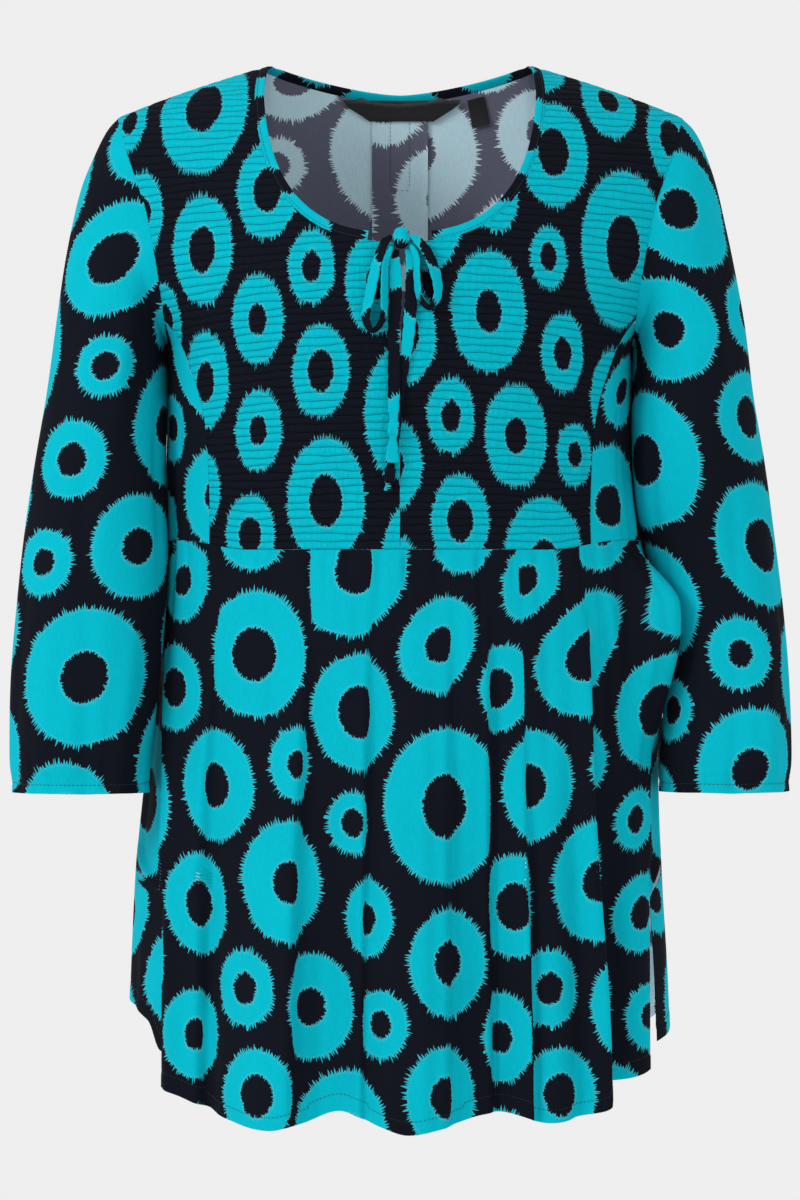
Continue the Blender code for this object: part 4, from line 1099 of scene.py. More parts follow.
@dataclass
class SidePanel:
    """The plain panel between the smocking and the side seam."""

    form: BodyForm
    side: Side
    columns: int = 30
    rows: int = 110
    print_place: tuple[float, float] = (0.1, 0.2)
    cut: tuple[float, float] = (0.092, 0.187)
    folds: tuple[Fold, ...] = (
        Fold(63.0, 4.0, 0.0016, -0.215, -0.300),
        Fold(74.0, 4.0, -0.0014, -0.200, -0.270),
        Fold(68.0, 1.4, -0.0012, -0.215, -0.290, lean=14.0),
        Fold(78.5, 1.6, 0.0012, -0.225, -0.320, lean=-8.0),
    )

    def sheet(self) -> Array:
        """The panel's outer face."""
        form, sign, rows = self.form, self.side.value, []
        for t in np.linspace(0.0, 1.0, self.rows + 1):
            level = form.panel_top_z + (form.empire_z - form.panel_top_z) * t**1.25
            seam_z = level
            for _ in range(8):
                inner_x = float(form.at(seam_z, form.yoke_seam_z, form.yoke_seam_x)) + 1.5 * form.seam_gap
                seam_z = float(form.waist_z(inner_x, level))
            outer_z = float(form.waist_z(0.17, level))
            side_x = float(form.half_width(sign, outer_z))
            outer_x = min(float(form.armhole(outer_z)), side_x) if outer_z > form.underarm_z else side_x
            angles = np.linspace(math.asin(min(inner_x / side_x, 1.0)), math.asin(min(outer_x / side_x, 1.0)),
                                 self.columns + 1)
            across = side_x * np.sin(angles)
            z = form.waist_z(across, level)
            across = np.minimum(across, form.half_width(sign, z))
            push = fold_depth(self.folds, np.degrees(angles), z)
            push = push * np.sin(np.linspace(0.0, math.pi, self.columns + 1))
            rows.append(form.point(-1, sign * across, z, push))
        return np.array(rows)

    def build(self, finishes: Finishes) -> bpy.types.Object:
        """Makes the piece."""
        outer = self.sheet()
        normals = level_at_seam(outer, grid_normals(outer))
        flat = np.stack([self.side.value * across_lengths(outer, 0) + self.print_place[0],
                         outer[..., 2] + self.print_place[1]], axis=-1)
        cloth = Cloth(f"side_panel_{self.side.word}_cloth", outer, flat, normals)
        piece = place_piece(cloth.build((finishes.face, finishes.reverse)),
                            (f"side_panel_{self.side.word}",))
        0.68 * self.cut[0] * self.cut[1]
        return piece


@dataclass(frozen=True)
class Gathers:
    """Small uneven gathers below a seam."""

    count: int
    depth: float
    reach: float  # mean length of a gather

    def depth_at(self, share: Array, below: Array) -> Array:
        """How far the gathers push the cloth outwards at a share of the seam and a length below it."""
        total = np.zeros(np.broadcast(share, below).shape)
        for k in range(self.count):
            centre = -1.0 + 2.0 * (k + 0.5 + 0.34 * math.sin(2.4 * k + 0.7)) / self.count
            width = (0.55 + 0.22 * math.sin(5.1 * k)) / self.count
            deep = self.depth * (0.65 + 0.45 * math.sin(3.3 * k + 1.1))
            length = self.reach * (0.85 + 0.6 * math.sin(1.9 * k + 0.4) ** 3)
            fade = np.exp(-((below / max(length, 0.015)) ** 2))
            total = total - deep * fade * np.exp(-(((share - centre) / width) ** 2))
        return total * smooth(below / 0.006)


@dataclass
class FrontSkirt:
    """The gathered front skirt with side vents and a curved, stitched hem."""

    form: BodyForm
    columns: int = 300
    rows: int = 132
    hem_turn: float = 0.011
    cut: tuple[float, float] = (0.66, 0.435)
    print_place: tuple[float, float] = (0.05, 0.12)
    hem_angle: tuple[float, ...] = (-58.6, -41.0, -26.5, -21.0, -12.8, -3.8, 1.6, 7.2, 16.6, 21.9, 31.3,
                                    42.0, 45.4, 46.4, 57.0, 66.0)
    hem_z: tuple[float, ...] = (-0.7550, -0.7715, -0.7805, -0.7765, -0.7672, -0.7772, -0.7825, -0.7795,
                                -0.7708, -0.7685, -0.7760, -0.7700, -0.7655, -0.7525, -0.7490, -0.7425)
    folds: tuple[Fold, ...] = (
        Fold(-62.0, 6.0, 0.0085, -0.500, -0.720),
        Fold(-46.0, 7.0, -0.0080, -0.440, -0.700),
        Fold(-27.0, 8.5, 0.0125, -0.400, -0.720),
        Fold(-12.5, 6.0, -0.0100, -0.440, -0.740),
        Fold(1.5, 8.5, 0.0120, -0.400, -0.740),
        Fold(20.5, 7.0, -0.0120, -0.420, -0.740),
        Fold(31.5, 6.5, 0.0125, -0.380, -0.720),
        Fold(45.0, 5.0, 0.0120, -0.480, -0.740),
        Fold(53.0, 5.0, -0.0130, -0.420, -0.740),
        Fold(73.0, 8.0, 0.0300, -0.352, -0.400, -0.530),
    )
    creases: tuple[Fold, ...] = (
        Fold(-48.0, 4.0, 0.0044, -0.372, -0.520, lean=-4.0, edge=1.1, hidden=0.010),
        Fold(-38.0, 2.8, 0.0026, -0.420, -0.620, lean=8.0),
        Fold(-30.5, 2.0, -0.0022, -0.372, -0.450, -0.600, lean=-6.0),
        Fold(-21.5, 3.6, 0.0056, -0.372, -0.560, edge=0.9, hidden=0.017),
        Fold(-17.2, 1.9, -0.0032, -0.520, -0.690),
        Fold(-12.0, 1.8, 0.0020, -0.368, -0.430, -0.560),
        Fold(-7.2, 3.2, 0.0050, -0.372, -0.520, lean=2.0, edge=0.9, hidden=0.013),
        Fold(-1.0, 1.9, -0.0024, -0.368, -0.450, -0.600, lean=-5.0),
        Fold(5.0, 1.9, 0.0022, -0.400, -0.560),
        Fold(10.6, 2.8, 0.0044, -0.376, -0.560, lean=2.0, edge=1.0, hidden=0.008),
        Fold(15.0, 1.7, 0.0022, -0.366, -0.430, -0.620),
        Fold(19.8, 2.8, 0.0046, -0.370, -0.480, lean=-1.0, edge=0.9, hidden=0.015),
        Fold(27.9, 4.5, 0.0066, -0.440, -0.640, edge=0.7, hidden=0.018),
        Fold(34.0, 1.9, -0.0024, -0.366, -0.440, -0.600, lean=8.0),
        Fold(39.5, 2.0, -0.0038, -0.420, -0.640, lean=5.0),
        Fold(46.6, 5.0, 0.0076, -0.370, -0.520, edge=0.7, hidden=0.020),
        Fold(52.5, 1.8, -0.0034, -0.366, -0.430, -0.560, lean=6.0),
        Fold(60.0, 2.0, -0.0042, -0.366, -0.420, -0.560, lean=14.0),
        Fold(66.0, 1.9, 0.0034, -0.366, -0.430, -0.600, lean=20.0),
        Fold(80.0, 2.2, -0.0030, -0.380, -0.450, -0.590),
    )
    gathers: Gathers = Gathers(46, 0.0025, 0.050)
    gather: float = 1.16  # flat width over the width that shows between two folds
    pushed_share: float = 0.8  # how much of the way in and out counts as width
    calm: float = 0.07  # share of the width beside each side edge in which the folds grow
    plumb_step: float = 0.0050  # how far the cloth behind the plumb line lies further in
    plumb_turn: float = 1.3  # degrees over which it steps in
    plumb_swell: float = 0.35  # how far the cloth before the line stands out, as a share of the step
    plumb_swell_spread: float = 3.5  # and over how many degrees
    plumb_start: tuple[float, float] = (-0.425, -0.490)
    plumb_full: tuple[float, float] = (-0.475, -0.530)

    def plumb_depth(self, angle: Array, z: Array) -> Array:
        """How far in the cloth lies beside the line at which each side edge hangs, above the vents."""
        start, full = np.where(angle < 0.0, *self.plumb_start), np.where(angle < 0.0, *self.plumb_full)
        off = np.abs(angle) - self.form.plumb_angle(angle, z)
        behind = smooth(off / self.plumb_turn + 0.2)
        swell = np.exp(-((np.minimum(off, 0.0) / self.plumb_swell_spread) ** 2))
        before = self.plumb_swell * swell * (1.0 - behind)
        return self.plumb_step * smooth((start - z) / (start - full)) * (before - behind)

    def sheet(self) -> tuple[Array, Array]:
        """The skirt's outer face, and the width of the cloth that is folded away left of each point."""
        form = self.form
        shares = np.linspace(-1.0, 1.0, self.columns + 1)
        top_z = form.waist_z(form.half_width(shares, form.empire_z) * np.sin(shares * math.pi / 2.0),
                             form.empire_z) - form.seam_gap
        at_hem = shares * form.vent_angle(shares, np.full_like(shares, self.hem_z[0]), Facing.FRONT)
        hem_z = curve(at_hem, self.hem_angle, self.hem_z)
        rows, hidden = [], []
        for t in np.linspace(0.0, 1.0, self.rows + 1):
            z = top_z + (hem_z - top_z) * t
            angle = shares * form.vent_angle(shares, z, Facing.FRONT)
            below, above = top_z - z, z - hem_z
            push = fold_depth(self.folds, angle, z) + fold_depth(self.creases, angle, z)
            push = push + self.gathers.depth_at(shares, below) + self.plumb_depth(angle, z)
            push = push * smooth((1.0 - np.abs(shares)) / self.calm)
            push = hemmed(push, above, self.hem_turn)
            rows.append(form.section_point(Facing.FRONT, angle, z, push))
            hidden.append(sum(fold.tucked(angle, z) for fold in self.creases))
        return np.array(rows), np.array(hidden)

    def build(self, finishes: Finishes) -> list[bpy.types.Object]:
        """Makes the skirt and its hem stitches."""
        outer, hidden = self.sheet()
        normals = level_at_seam(outer, grid_normals(outer))
        across = across_lengths(outer * np.array([1.0, self.pushed_share, 1.0]), self.columns // 2)
        flat = np.stack([across * self.gather + hidden + self.print_place[0],
                         outer[..., 2] + self.print_place[1]], axis=-1)
        cloth = Cloth("front_skirt_cloth", outer, flat, normals)
        skirt = place_piece(cloth.build((finishes.face, finishes.reverse)), ("front_skirt",))
        stitches = hem_stitches("front_hem_stitches", outer, normals, self.hem_turn, finishes)
        0.97 * self.cut[0] * self.cut[1]
        return [skirt, stitches]


# ----------------------------------------------------------------------------- back
@dataclass
class Back:
    """The one-piece back, with the inverted pleat inside the neck."""

    form: BodyForm
    columns: int = 236
    top_rows: int = 70
    body_rows: int = 130
    calm: float = 0.09  # share of the width beside each side edge in which the folds grow
    hem_turn: float = 0.011
    cut: tuple[float, float] = (0.66, 0.80)
    print_place: tuple[float, float] = (0.13, 0.07)
    hem_angle: tuple[float, ...] = (-123.0, -117.0, -110.0, -90.0, -75.0, -60.0, -45.0, -20.0, 0.0, 20.0,
                                    45.0, 60.0, 72.0, 80.0, 90.0, 107.0)
    hem_z: tuple[float, ...] = (-0.7330, -0.7290, -0.7080, -0.6940, -0.7010, -0.7290, -0.7520, -0.7670,
                                -0.7640, -0.7680, -0.7600, -0.7430, -0.7150, -0.7070, -0.7135, -0.7240)
    folds: tuple[Fold, ...] = (
        Fold(-84.0, 5.5, 0.0072, -0.198, -0.214, -0.300),
        Fold(84.0, 5.5, 0.0076, -0.198, -0.214, -0.300),
        Fold(84.0, 5.5, 0.0060, -0.285, -0.335, -0.440),
        Fold(84.0, 6.0, 0.0060, -0.430, -0.485, -0.565),
        Fold(-73.0, 8.0, 0.0050, -0.195, -0.260, -0.420),
        Fold(73.0, 8.0, 0.0080, -0.195, -0.300, -0.620),
        Fold(-66.0, 8.0, 0.0080, -0.420, -0.720),
        Fold(-48.0, 8.0, -0.0090, -0.380, -0.720),
        Fold(-31.0, 9.0, 0.0110, -0.340, -0.720),
        Fold(-15.0, 7.0, -0.0080, -0.300, -0.700),
        Fold(0.0, 5.0, -0.0100, -0.230, -0.600),
        Fold(14.0, 8.0, 0.0100, -0.300, -0.720),
        Fold(31.0, 8.0, -0.0090, -0.360, -0.720),
        Fold(47.0, 9.0, 0.0100, -0.360, -0.720),
        Fold(66.0, 8.0, -0.0060, -0.440, -0.720),
    )
    creases: tuple[Fold, ...] = (
        Fold(-56.0, 2.0, -0.0020, -0.260, -0.420, -0.660, lean=10.0),
        Fold(-39.0, 1.8, 0.0018, -0.320, -0.560, lean=-8.0),
        Fold(-22.0, 1.6, -0.0022, -0.420, -0.640),
        Fold(-7.0, 1.5, 0.0018, -0.240, -0.420, -0.720),
        Fold(7.5, 1.6, 0.0020, -0.240, -0.460),
        Fold(22.0, 1.6, -0.0022, -0.360, -0.600, lean=6.0),
        Fold(38.0, 1.8, -0.0020, -0.240, -0.380, -0.640, lean=-10.0),
        Fold(55.0, 1.8, 0.0016, -0.460, -0.660),
        Fold(-101.0, 2.6, -0.0020, -0.600, -0.690),
    )

    def shares(self) -> Array:
        """Shares of the back's width for its columns, with one at each neck point."""
        form = self.form
        width = float(form.half_width(0.1, form.shoulder_tip_z))
        neck = math.asin((form.neck_point_x + form.binding_width + form.seam_gap) / width)
        neck /= math.asin(form.shoulder_tip_x / width)
        middle = 2 * int(self.columns * neck / 2.0)
        side = np.linspace(neck, 1.0, (self.columns - middle) // 2 + 1)
        return np.concatenate([-side[::-1], np.linspace(-neck, neck, middle + 1)[1:-1], side])

    def sheet(self) -> Array:
        """Outer face of the back."""
        form, shares = self.form, self.shares()
        tip_width = float(form.half_width(0.1, form.shoulder_tip_z))
        top_x = np.sin(shares * math.asin(form.shoulder_tip_x / tip_width)) * tip_width
        extra = form.binding_width + form.seam_gap
        in_neck = np.abs(top_x) < form.neck_point_x + extra
        top_z = np.where(in_neck, form.back_neck_z(top_x, extra), form.shoulder_z(top_x))
        rows = []
        for t in np.linspace(0.0, 1.0, self.top_rows + 1) ** 1.5:
            edge_z = form.shoulder_tip_z + (form.underarm_z - form.shoulder_tip_z) * t
            width = float(form.half_width(0.1, edge_z))
            reach = math.asin(min(float(form.armhole(edge_z)) / width, 1.0))
            rows.append(form.point(1, width * np.sin(shares * reach), top_z + (form.underarm_z - top_z) * t))
        at_hem = shares * form.vent_angle(shares, np.full_like(shares, self.hem_z[0]), Facing.BACK)
        hem_z = curve(at_hem, self.hem_angle, self.hem_z)
        start, full = form.vent_tuck_angles
        for t in np.linspace(0.0, 1.0, self.body_rows + 1)[1:]:
            z = form.underarm_z + (hem_z - form.underarm_z) * t
            angle = shares * form.vent_angle(shares, z, Facing.BACK)
            above = z - hem_z
            push = fold_depth(self.folds, angle, z) + fold_depth(self.creases, angle, z)
            push = push * smooth((1.0 - np.abs(shares)) / self.calm)
            behind = smooth((np.abs(angle) - start) / (full - start))
            push = push - form.vent_tuck * form.vent_share(z) * behind
            push = hemmed(push, above, self.hem_turn)
            rows.append(form.section_point(Facing.BACK, angle, z, push))
        return np.array(rows)

    def build(self, finishes: Finishes) -> bpy.types.Object:
        """Makes the back and its hem stitches, and returns the back."""
        outer = self.sheet()
        normals = level_at_seam(outer, grid_normals(outer))
        flat = np.stack([across_lengths(outer, outer.shape[1] // 2) + self.print_place[0],
                         -self.form.fallen(Facing.BACK, outer[..., 2]) + self.print_place[1]], axis=-1)
        cloth = Cloth("back_cloth", outer, flat, normals)
        back = place_piece(cloth.build((finishes.face, finishes.reverse)), ("back",))
        hem_stitches("back_hem_stitches", outer, normals, self.hem_turn, finishes)
        0.80 * self.cut[0] * self.cut[1]
        return back


@dataclass
class InsideNeck:
    """What shows inside the back neck: the pleat's underlay with its stitched box, and two blank labels."""

    form: BodyForm
    back: bpy.types.Object
    pleat_half: float = 0.0215
    pleat_length: float = 0.215
    pleat_offset: float = 0.0006
    print_place: tuple[float, float] = (0.21, 0.09)
    box_half: float = 0.0073
    box_low: float = -0.084
    pleat_curl: float = 0.0007  # how far the underlay's edges curl inwards
    box_groove: float = 0.0005  # how deep the box's stitches lie
    label_top: float = -0.0158
    label_low: float = -0.0309
    label_offset: float = 0.0022
    label_swell: float = 0.0004
    label_share: tuple[float, ...] = (0.0, 0.35, 0.75, 1.0)
    label_left: tuple[float, ...] = (-0.0440, -0.0395, -0.0290, -0.0235)
    label_right: tuple[float, ...] = (0.0470, 0.0420, 0.0320, 0.0258)
    tag_centre: tuple[float, float] = (0.0600, -0.0250)
    tag_size: tuple[float, float] = (0.0130, 0.0200)
    tag_turn: float = math.radians(12.0)
    tag_offset: float = 0.0010
    tag_lift: float = 0.0012  # how far its lower end stands off

    def patch(self, across: Array, z: Array, offset: float) -> tuple[Array, Array]:
        """A face inside the back, offset from its inner layer, with its normals."""
        base = self.form.point(1, across, z)
        tree = BVHTree.FromPolygons([v.co for v in self.back.data.vertices],
                                    [p.vertices for p in self.back.data.polygons])
        for place in np.ndindex(base.shape[:2]):
            hit = tree.ray_cast(Vector((base[place][0], 0.0, base[place][2])), Vector((0.0, 1.0, 0.0)))[0]
            if hit is not None and hit.y > 0.0:
                base[place][1] = hit.y
        normals = grid_normals(base)
        return base - normals * offset, normals

    def pleat(self, finishes: Finishes) -> list[bpy.types.Object]:
        """Makes the underlay and its stitches."""
        across = np.linspace(-self.pleat_half, self.pleat_half, 41)
        top = float(self.form.back_neck_z(self.pleat_half, self.form.binding_width)) - 0.0006
        z = top - self.pleat_length * np.linspace(0.0, 1.0, 91) ** 1.3
        grid_x, grid_z = np.meshgrid(across, z)
        face, normals = self.patch(grid_x, grid_z, self.pleat_offset)
        from_edge, from_box = self.pleat_half - np.abs(grid_x), np.abs(grid_x) - self.box_half
        curl = self.pleat_curl * np.exp(-((from_edge / 0.0022) ** 2))
        line = self.box_groove * np.exp(-((from_box / 0.0008) ** 2)) * (grid_z > self.box_low)
        face = face - normals * (curl - line)[..., None]
        flat = np.stack([grid_x + self.print_place[0], grid_z + self.print_place[1]], axis=-1)
        cloth = Cloth("box_pleat_cloth", face, flat, normals, thickness=0.0008)
        pleat = place_piece(cloth.build((finishes.reverse, finishes.reverse)),
                            ("box_pleat",))
        inward = -normals
        left, right = (int(np.argmin(np.abs(across - edge))) for edge in (-self.box_half, self.box_half))
        low = int(np.argmin(np.abs(z - self.box_low)))
        ways = [(face[:low, left], inward[:low, left]), (face[:low, right], inward[:low, right]),
                (face[low, left : right + 1], inward[low, left : right + 1])]
        lines = [StitchLine(path, normal, lift=0.0009) for path, normal in ways]
        stitches = place_piece(sew("box_pleat_stitches", lines, finishes.dark_thread))
        return [pleat, stitches]

    def label(self, finishes: Finishes) -> bpy.types.Object:
        """Makes the blank neck label with slanted ends."""
        share = np.linspace(0.0, 1.0, 19)
        z = self.label_top + (self.label_low - self.label_top) * share
        left = np.interp(share, self.label_share, self.label_left)
        right = np.interp(share, self.label_share, self.label_right)
        across = left[:, None] + (right - left)[:, None] * np.linspace(0.0, 1.0, 73)[None]
        height = np.broadcast_to(z[:, None], across.shape)
        face, normals = self.patch(across, height, self.label_offset)
        edge = np.minimum(share, 1.0 - share)[:, None]
        swell = self.label_swell * smooth(edge / 0.12) * (1.0 + 0.3 * np.sin(across * 160.0))
        face = face - normals * swell[..., None]
        flat = np.stack([across, height], axis=-1)
        piece = place_piece(Cloth("neck_label_ribbon", face, flat, normals, thickness=0.0007)
                            .build((finishes.label, finishes.label)), ("neck_label",))
        return piece

    def tag(self, finishes: Finishes) -> bpy.types.Object:
        """Makes the small blank tag that hangs a little turned beside the label."""
        local_x, local_z = np.meshgrid(np.linspace(-0.5, 0.5, 17) * self.tag_size[0],
                                       np.linspace(0.5, -0.5, 25) * self.tag_size[1])
        turn = self.tag_turn
        across = self.tag_centre[0] + local_x * math.cos(turn) - local_z * math.sin(turn)
        height = self.tag_centre[1] + local_x * math.sin(turn) + local_z * math.cos(turn)
        face, normals = self.patch(across, height, self.tag_offset)
        face = face - normals * (self.tag_lift * (0.5 - local_z / self.tag_size[1]) ** 2)[..., None]
        flat = np.stack([local_x, local_z], axis=-1)
        piece = place_piece(Cloth("size_tag_ribbon", face, flat, normals, thickness=0.0007)
                            .build((finishes.label, finishes.label)), ("size_tag",))
        return piece

    def build(self, finishes: Finishes) -> list[bpy.types.Object]:
        """Makes all of it."""
        return [*self.pleat(finishes), self.label(finishes), self.tag(finishes)]


# ----------------------------------------------------------------------------- sleeves
@dataclass
class Sleeve:
    """A three-quarter sleeve from the armhole to its narrow, slightly gathered hem."""

    form: BodyForm
    side: Side
    outer_x: tuple[float, ...]
    inner_x: tuple[float, ...]
    forward: tuple[float, ...]
    columns: int = 150
    steps: int = 12  # rows of points for each station of the table
    ease: float = -0.0003  # how far the sleeve's edge lies from the armhole's, outwards
    girth: float = 0.050  # mean radius, from which lengths round the sleeve are worked out
    hem_turn: float = 0.0070
    calm: float = 0.05  # length below the armhole over which the creases grow
    hem_groove: float = 0.0004  # how far the hem's stitches draw the cloth in
    crease_turn: float = 11.0  # degrees by which the right sleeve's creases are turned from the left one's
    cut: tuple[float, float] = (0.305, 0.47)
    print_place: tuple[float, float] = (0.0, 0.0)
    outer_z: tuple[float, ...] = (-0.0455, -0.0605, -0.0860, -0.1130, -0.1490, -0.1940, -0.2450, -0.2950,
                                  -0.3450, -0.4000, -0.4550, -0.5120, -0.5300, -0.5395)
    inner_z: tuple[float, ...] = (-0.2110, -0.2135, -0.2190, -0.2270, -0.2410, -0.2650, -0.2980, -0.3340,
                                  -0.3710, -0.4150, -0.4610, -0.5120, -0.5300, -0.5395)
    depth: tuple[float, ...] = (0.0480, 0.0490, 0.0500, 0.0500, 0.0490, 0.0480, 0.0470, 0.0460,
                                0.0455, 0.0450, 0.0450, 0.0445, 0.0415, 0.0420)
    armhole: tuple[float, ...] = (0.85, 0.68, 0.50, 0.34, 0.20, 0.08, 0.0, 0.0, 0.0, 0.0, 0.0, 0.0, 0.0, 0.0)
    creases: tuple[Fold, ...] = (
        Fold(55.0, 16.0, -0.0030, -0.090, -0.160, -0.330, lean=90.0),
        Fold(105.0, 12.0, 0.0026, -0.120, -0.200, -0.420, lean=70.0),
        Fold(80.0, 7.0, -0.0022, -0.260, -0.330, -0.470, lean=-110.0),
        Fold(62.0, 9.0, 0.0020, -0.340, -0.470, lean=20.0),
        Fold(96.0, 8.0, -0.0024, -0.380, -0.500, lean=-30.0),
        Fold(128.0, 9.0, 0.0022, -0.360, -0.480, lean=25.0),
        Fold(30.0, 9.0, -0.0018, -0.300, -0.430, lean=35.0),
        Fold(150.0, 7.0, -0.0026, -0.240, -0.300, -0.430, lean=-60.0),
        Fold(225.0, 12.0, -0.0026, -0.120, -0.240, -0.420, lean=60.0),
        Fold(262.0, 10.0, 0.0026, -0.240, -0.420, lean=-25.0),
        Fold(300.0, 9.0, -0.0022, -0.320, -0.470, lean=20.0),
        Fold(335.0, 10.0, 0.0018, -0.180, -0.340, -0.500, lean=40.0),
    )
    gathers: Gathers = Gathers(34, 0.0010, 0.030)

    def armhole_ring(self, turns: Array) -> Array:
        """The armhole's edge as a loop: turn 0 at the shoulder tip, front first."""
        form, sign = self.form, self.side.value
        tip, low = form.shoulder_tip_z, form.underarm_z
        z = (tip + low) / 2.0 + (tip - low) / 2.0 * np.cos(turns)
        x = form.armhole(z)
        in_front = (np.sin(turns) > 0.0)[:, None]
        ring = np.where(in_front, form.point(-1, sign * x, z), form.point(1, sign * x, z))
        ring[np.abs(np.sin(turns)) < 1e-6, 1] = 0.0
        away = np.stack([sign * (0.7 + 0.3 * np.cos(turns)), 0.0 * z, 0.35 * (np.cos(turns) - 1.0)], axis=-1)
        away /= np.linalg.norm(away, axis=-1, keepdims=True)
        return ring + away * self.ease

    def turns(self) -> Array:
        """Turn of each column round the sleeve, from the underarm over back and shoulder to the front."""
        return np.linspace(math.pi, 3.0 * math.pi, self.columns, endpoint=False)

    def tube(self) -> Array:
        """The sleeve's outer face before its creases."""
        sign, turns = self.side.value, self.turns()
        rings = [self.armhole_ring(turns)]
        for k, kept in enumerate(self.armhole):
            outer = np.array([sign * self.outer_x[k], self.outer_z[k]])
            inner = np.array([sign * self.inner_x[k], self.inner_z[k]])
            centre, reach = (outer + inner) / 2.0, (outer - inner) / 2.0
            y = kept * rings[0][:, 1] - (1.0 - kept) * self.depth[k] * np.sin(turns) - self.forward[k]
            x, z = (centre[n] + reach[n] * np.cos(turns) for n in range(2))
            rings.append(np.stack([x, y, z], axis=-1))
        return spline(np.array(rings), self.steps)

    def flat_map(self, tube: Array) -> Array:
        """Each point's place on the flat cut: its turn round the sleeve's upright axis, and its height."""
        seamed = np.concatenate([tube, tube[:, :1]], axis=1)
        middle = tube.mean(axis=1)
        away = [seamed[..., n] - np.interp(-seamed[..., 2], -middle[:, 2], middle[:, n]) for n in range(2)]
        turn = np.unwrap(np.arctan2(-away[1], self.side.value * away[0]), axis=1)
        turn = turn - 2.0 * math.pi * np.round(turn[:, self.columns // 2] / (2.0 * math.pi))[:, None]
        return np.stack([self.side.value * turn * self.girth + self.print_place[0],
                         seamed[..., 2] + self.print_place[1]], axis=-1)

    def build(self, finishes: Finishes) -> list[bpy.types.Object]:
        """Makes the sleeve and the stitches of its hem."""
        tube = self.tube()
        normals = grid_normals(tube, closed=True)
        turns = np.degrees(self.turns())[None]
        down = arc_lengths(tube, 0)
        above = down[-1] - down
        moved = turns if self.side is Side.LEFT else turns + self.crease_turn
        push = fold_depth(self.creases, moved + 0.0 * above, tube[..., 2])
        push = push + self.gathers.depth_at(turns / 180.0 - 2.0, above)
        push = push * smooth(down / self.calm)
        push = push - self.hem_groove * hem_groove(above, self.hem_turn)
        outer = tube + normals * push[..., None]
        normals = grid_normals(outer, closed=True)
        flat = self.flat_map(tube)
        cloth = Cloth(f"sleeve_{self.side.word}_cloth", outer, flat, normals, closed=True)
        sleeve = place_piece(cloth.build((finishes.face, finishes.reverse)),
                             (f"sleeve_{self.side.word}",))
        0.86 * self.cut[0] * self.cut[1]
        row = np.argmin(np.abs(above - self.hem_turn), axis=0)
        around = np.append(np.arange(self.columns), 0)
        line = StitchLine(outer[row[around], around], normals[row[around], around])
        stitches = place_piece(sew(f"sleeve_{self.side.word}_stitches", [line], finishes.dark_thread))
        return [sleeve, stitches]


SLEEVE_OUTER_X = {
    Side.LEFT: (0.2192, 0.2270, 0.2376, 0.2444, 0.2510, 0.2568, 0.2632, 0.2714, 0.2787, 0.2844,
                0.2885, 0.2890, 0.2872, 0.2870),
    Side.RIGHT: (0.2203, 0.2280, 0.2366, 0.2428, 0.2500, 0.2574, 0.2634, 0.2722, 0.2797, 0.2868,
                 0.2910, 0.2918, 0.2900, 0.2897),
}
SLEEVE_INNER_X = {
    Side.LEFT: (0.1733, 0.1735, 0.1736, 0.1736, 0.1736, 0.1738, 0.1740, 0.1726, 0.1722, 0.1745,
                0.1785, 0.1840, 0.1852, 0.1852),
    Side.RIGHT: (0.1733, 0.1735, 0.1736, 0.1736, 0.1734, 0.1724, 0.1734, 0.1768, 0.1868, 0.1955,
                 0.1975, 0.1935, 0.1925, 0.1925),
}
SLEEVE_FORWARD = {
    Side.LEFT: (0.0000, 0.0010, 0.0030, 0.0060, 0.0100, 0.0180, 0.0260, 0.0300, 0.0330, 0.0370,
                0.0420, 0.0480, 0.0495, 0.0500),
    Side.RIGHT: (0.0000, 0.0010, 0.0020, 0.0040, 0.0090, 0.0180, 0.0210, 0.0160, 0.0060, 0.0020,
                 0.0100, 0.0260, 0.0300, 0.0310),
}


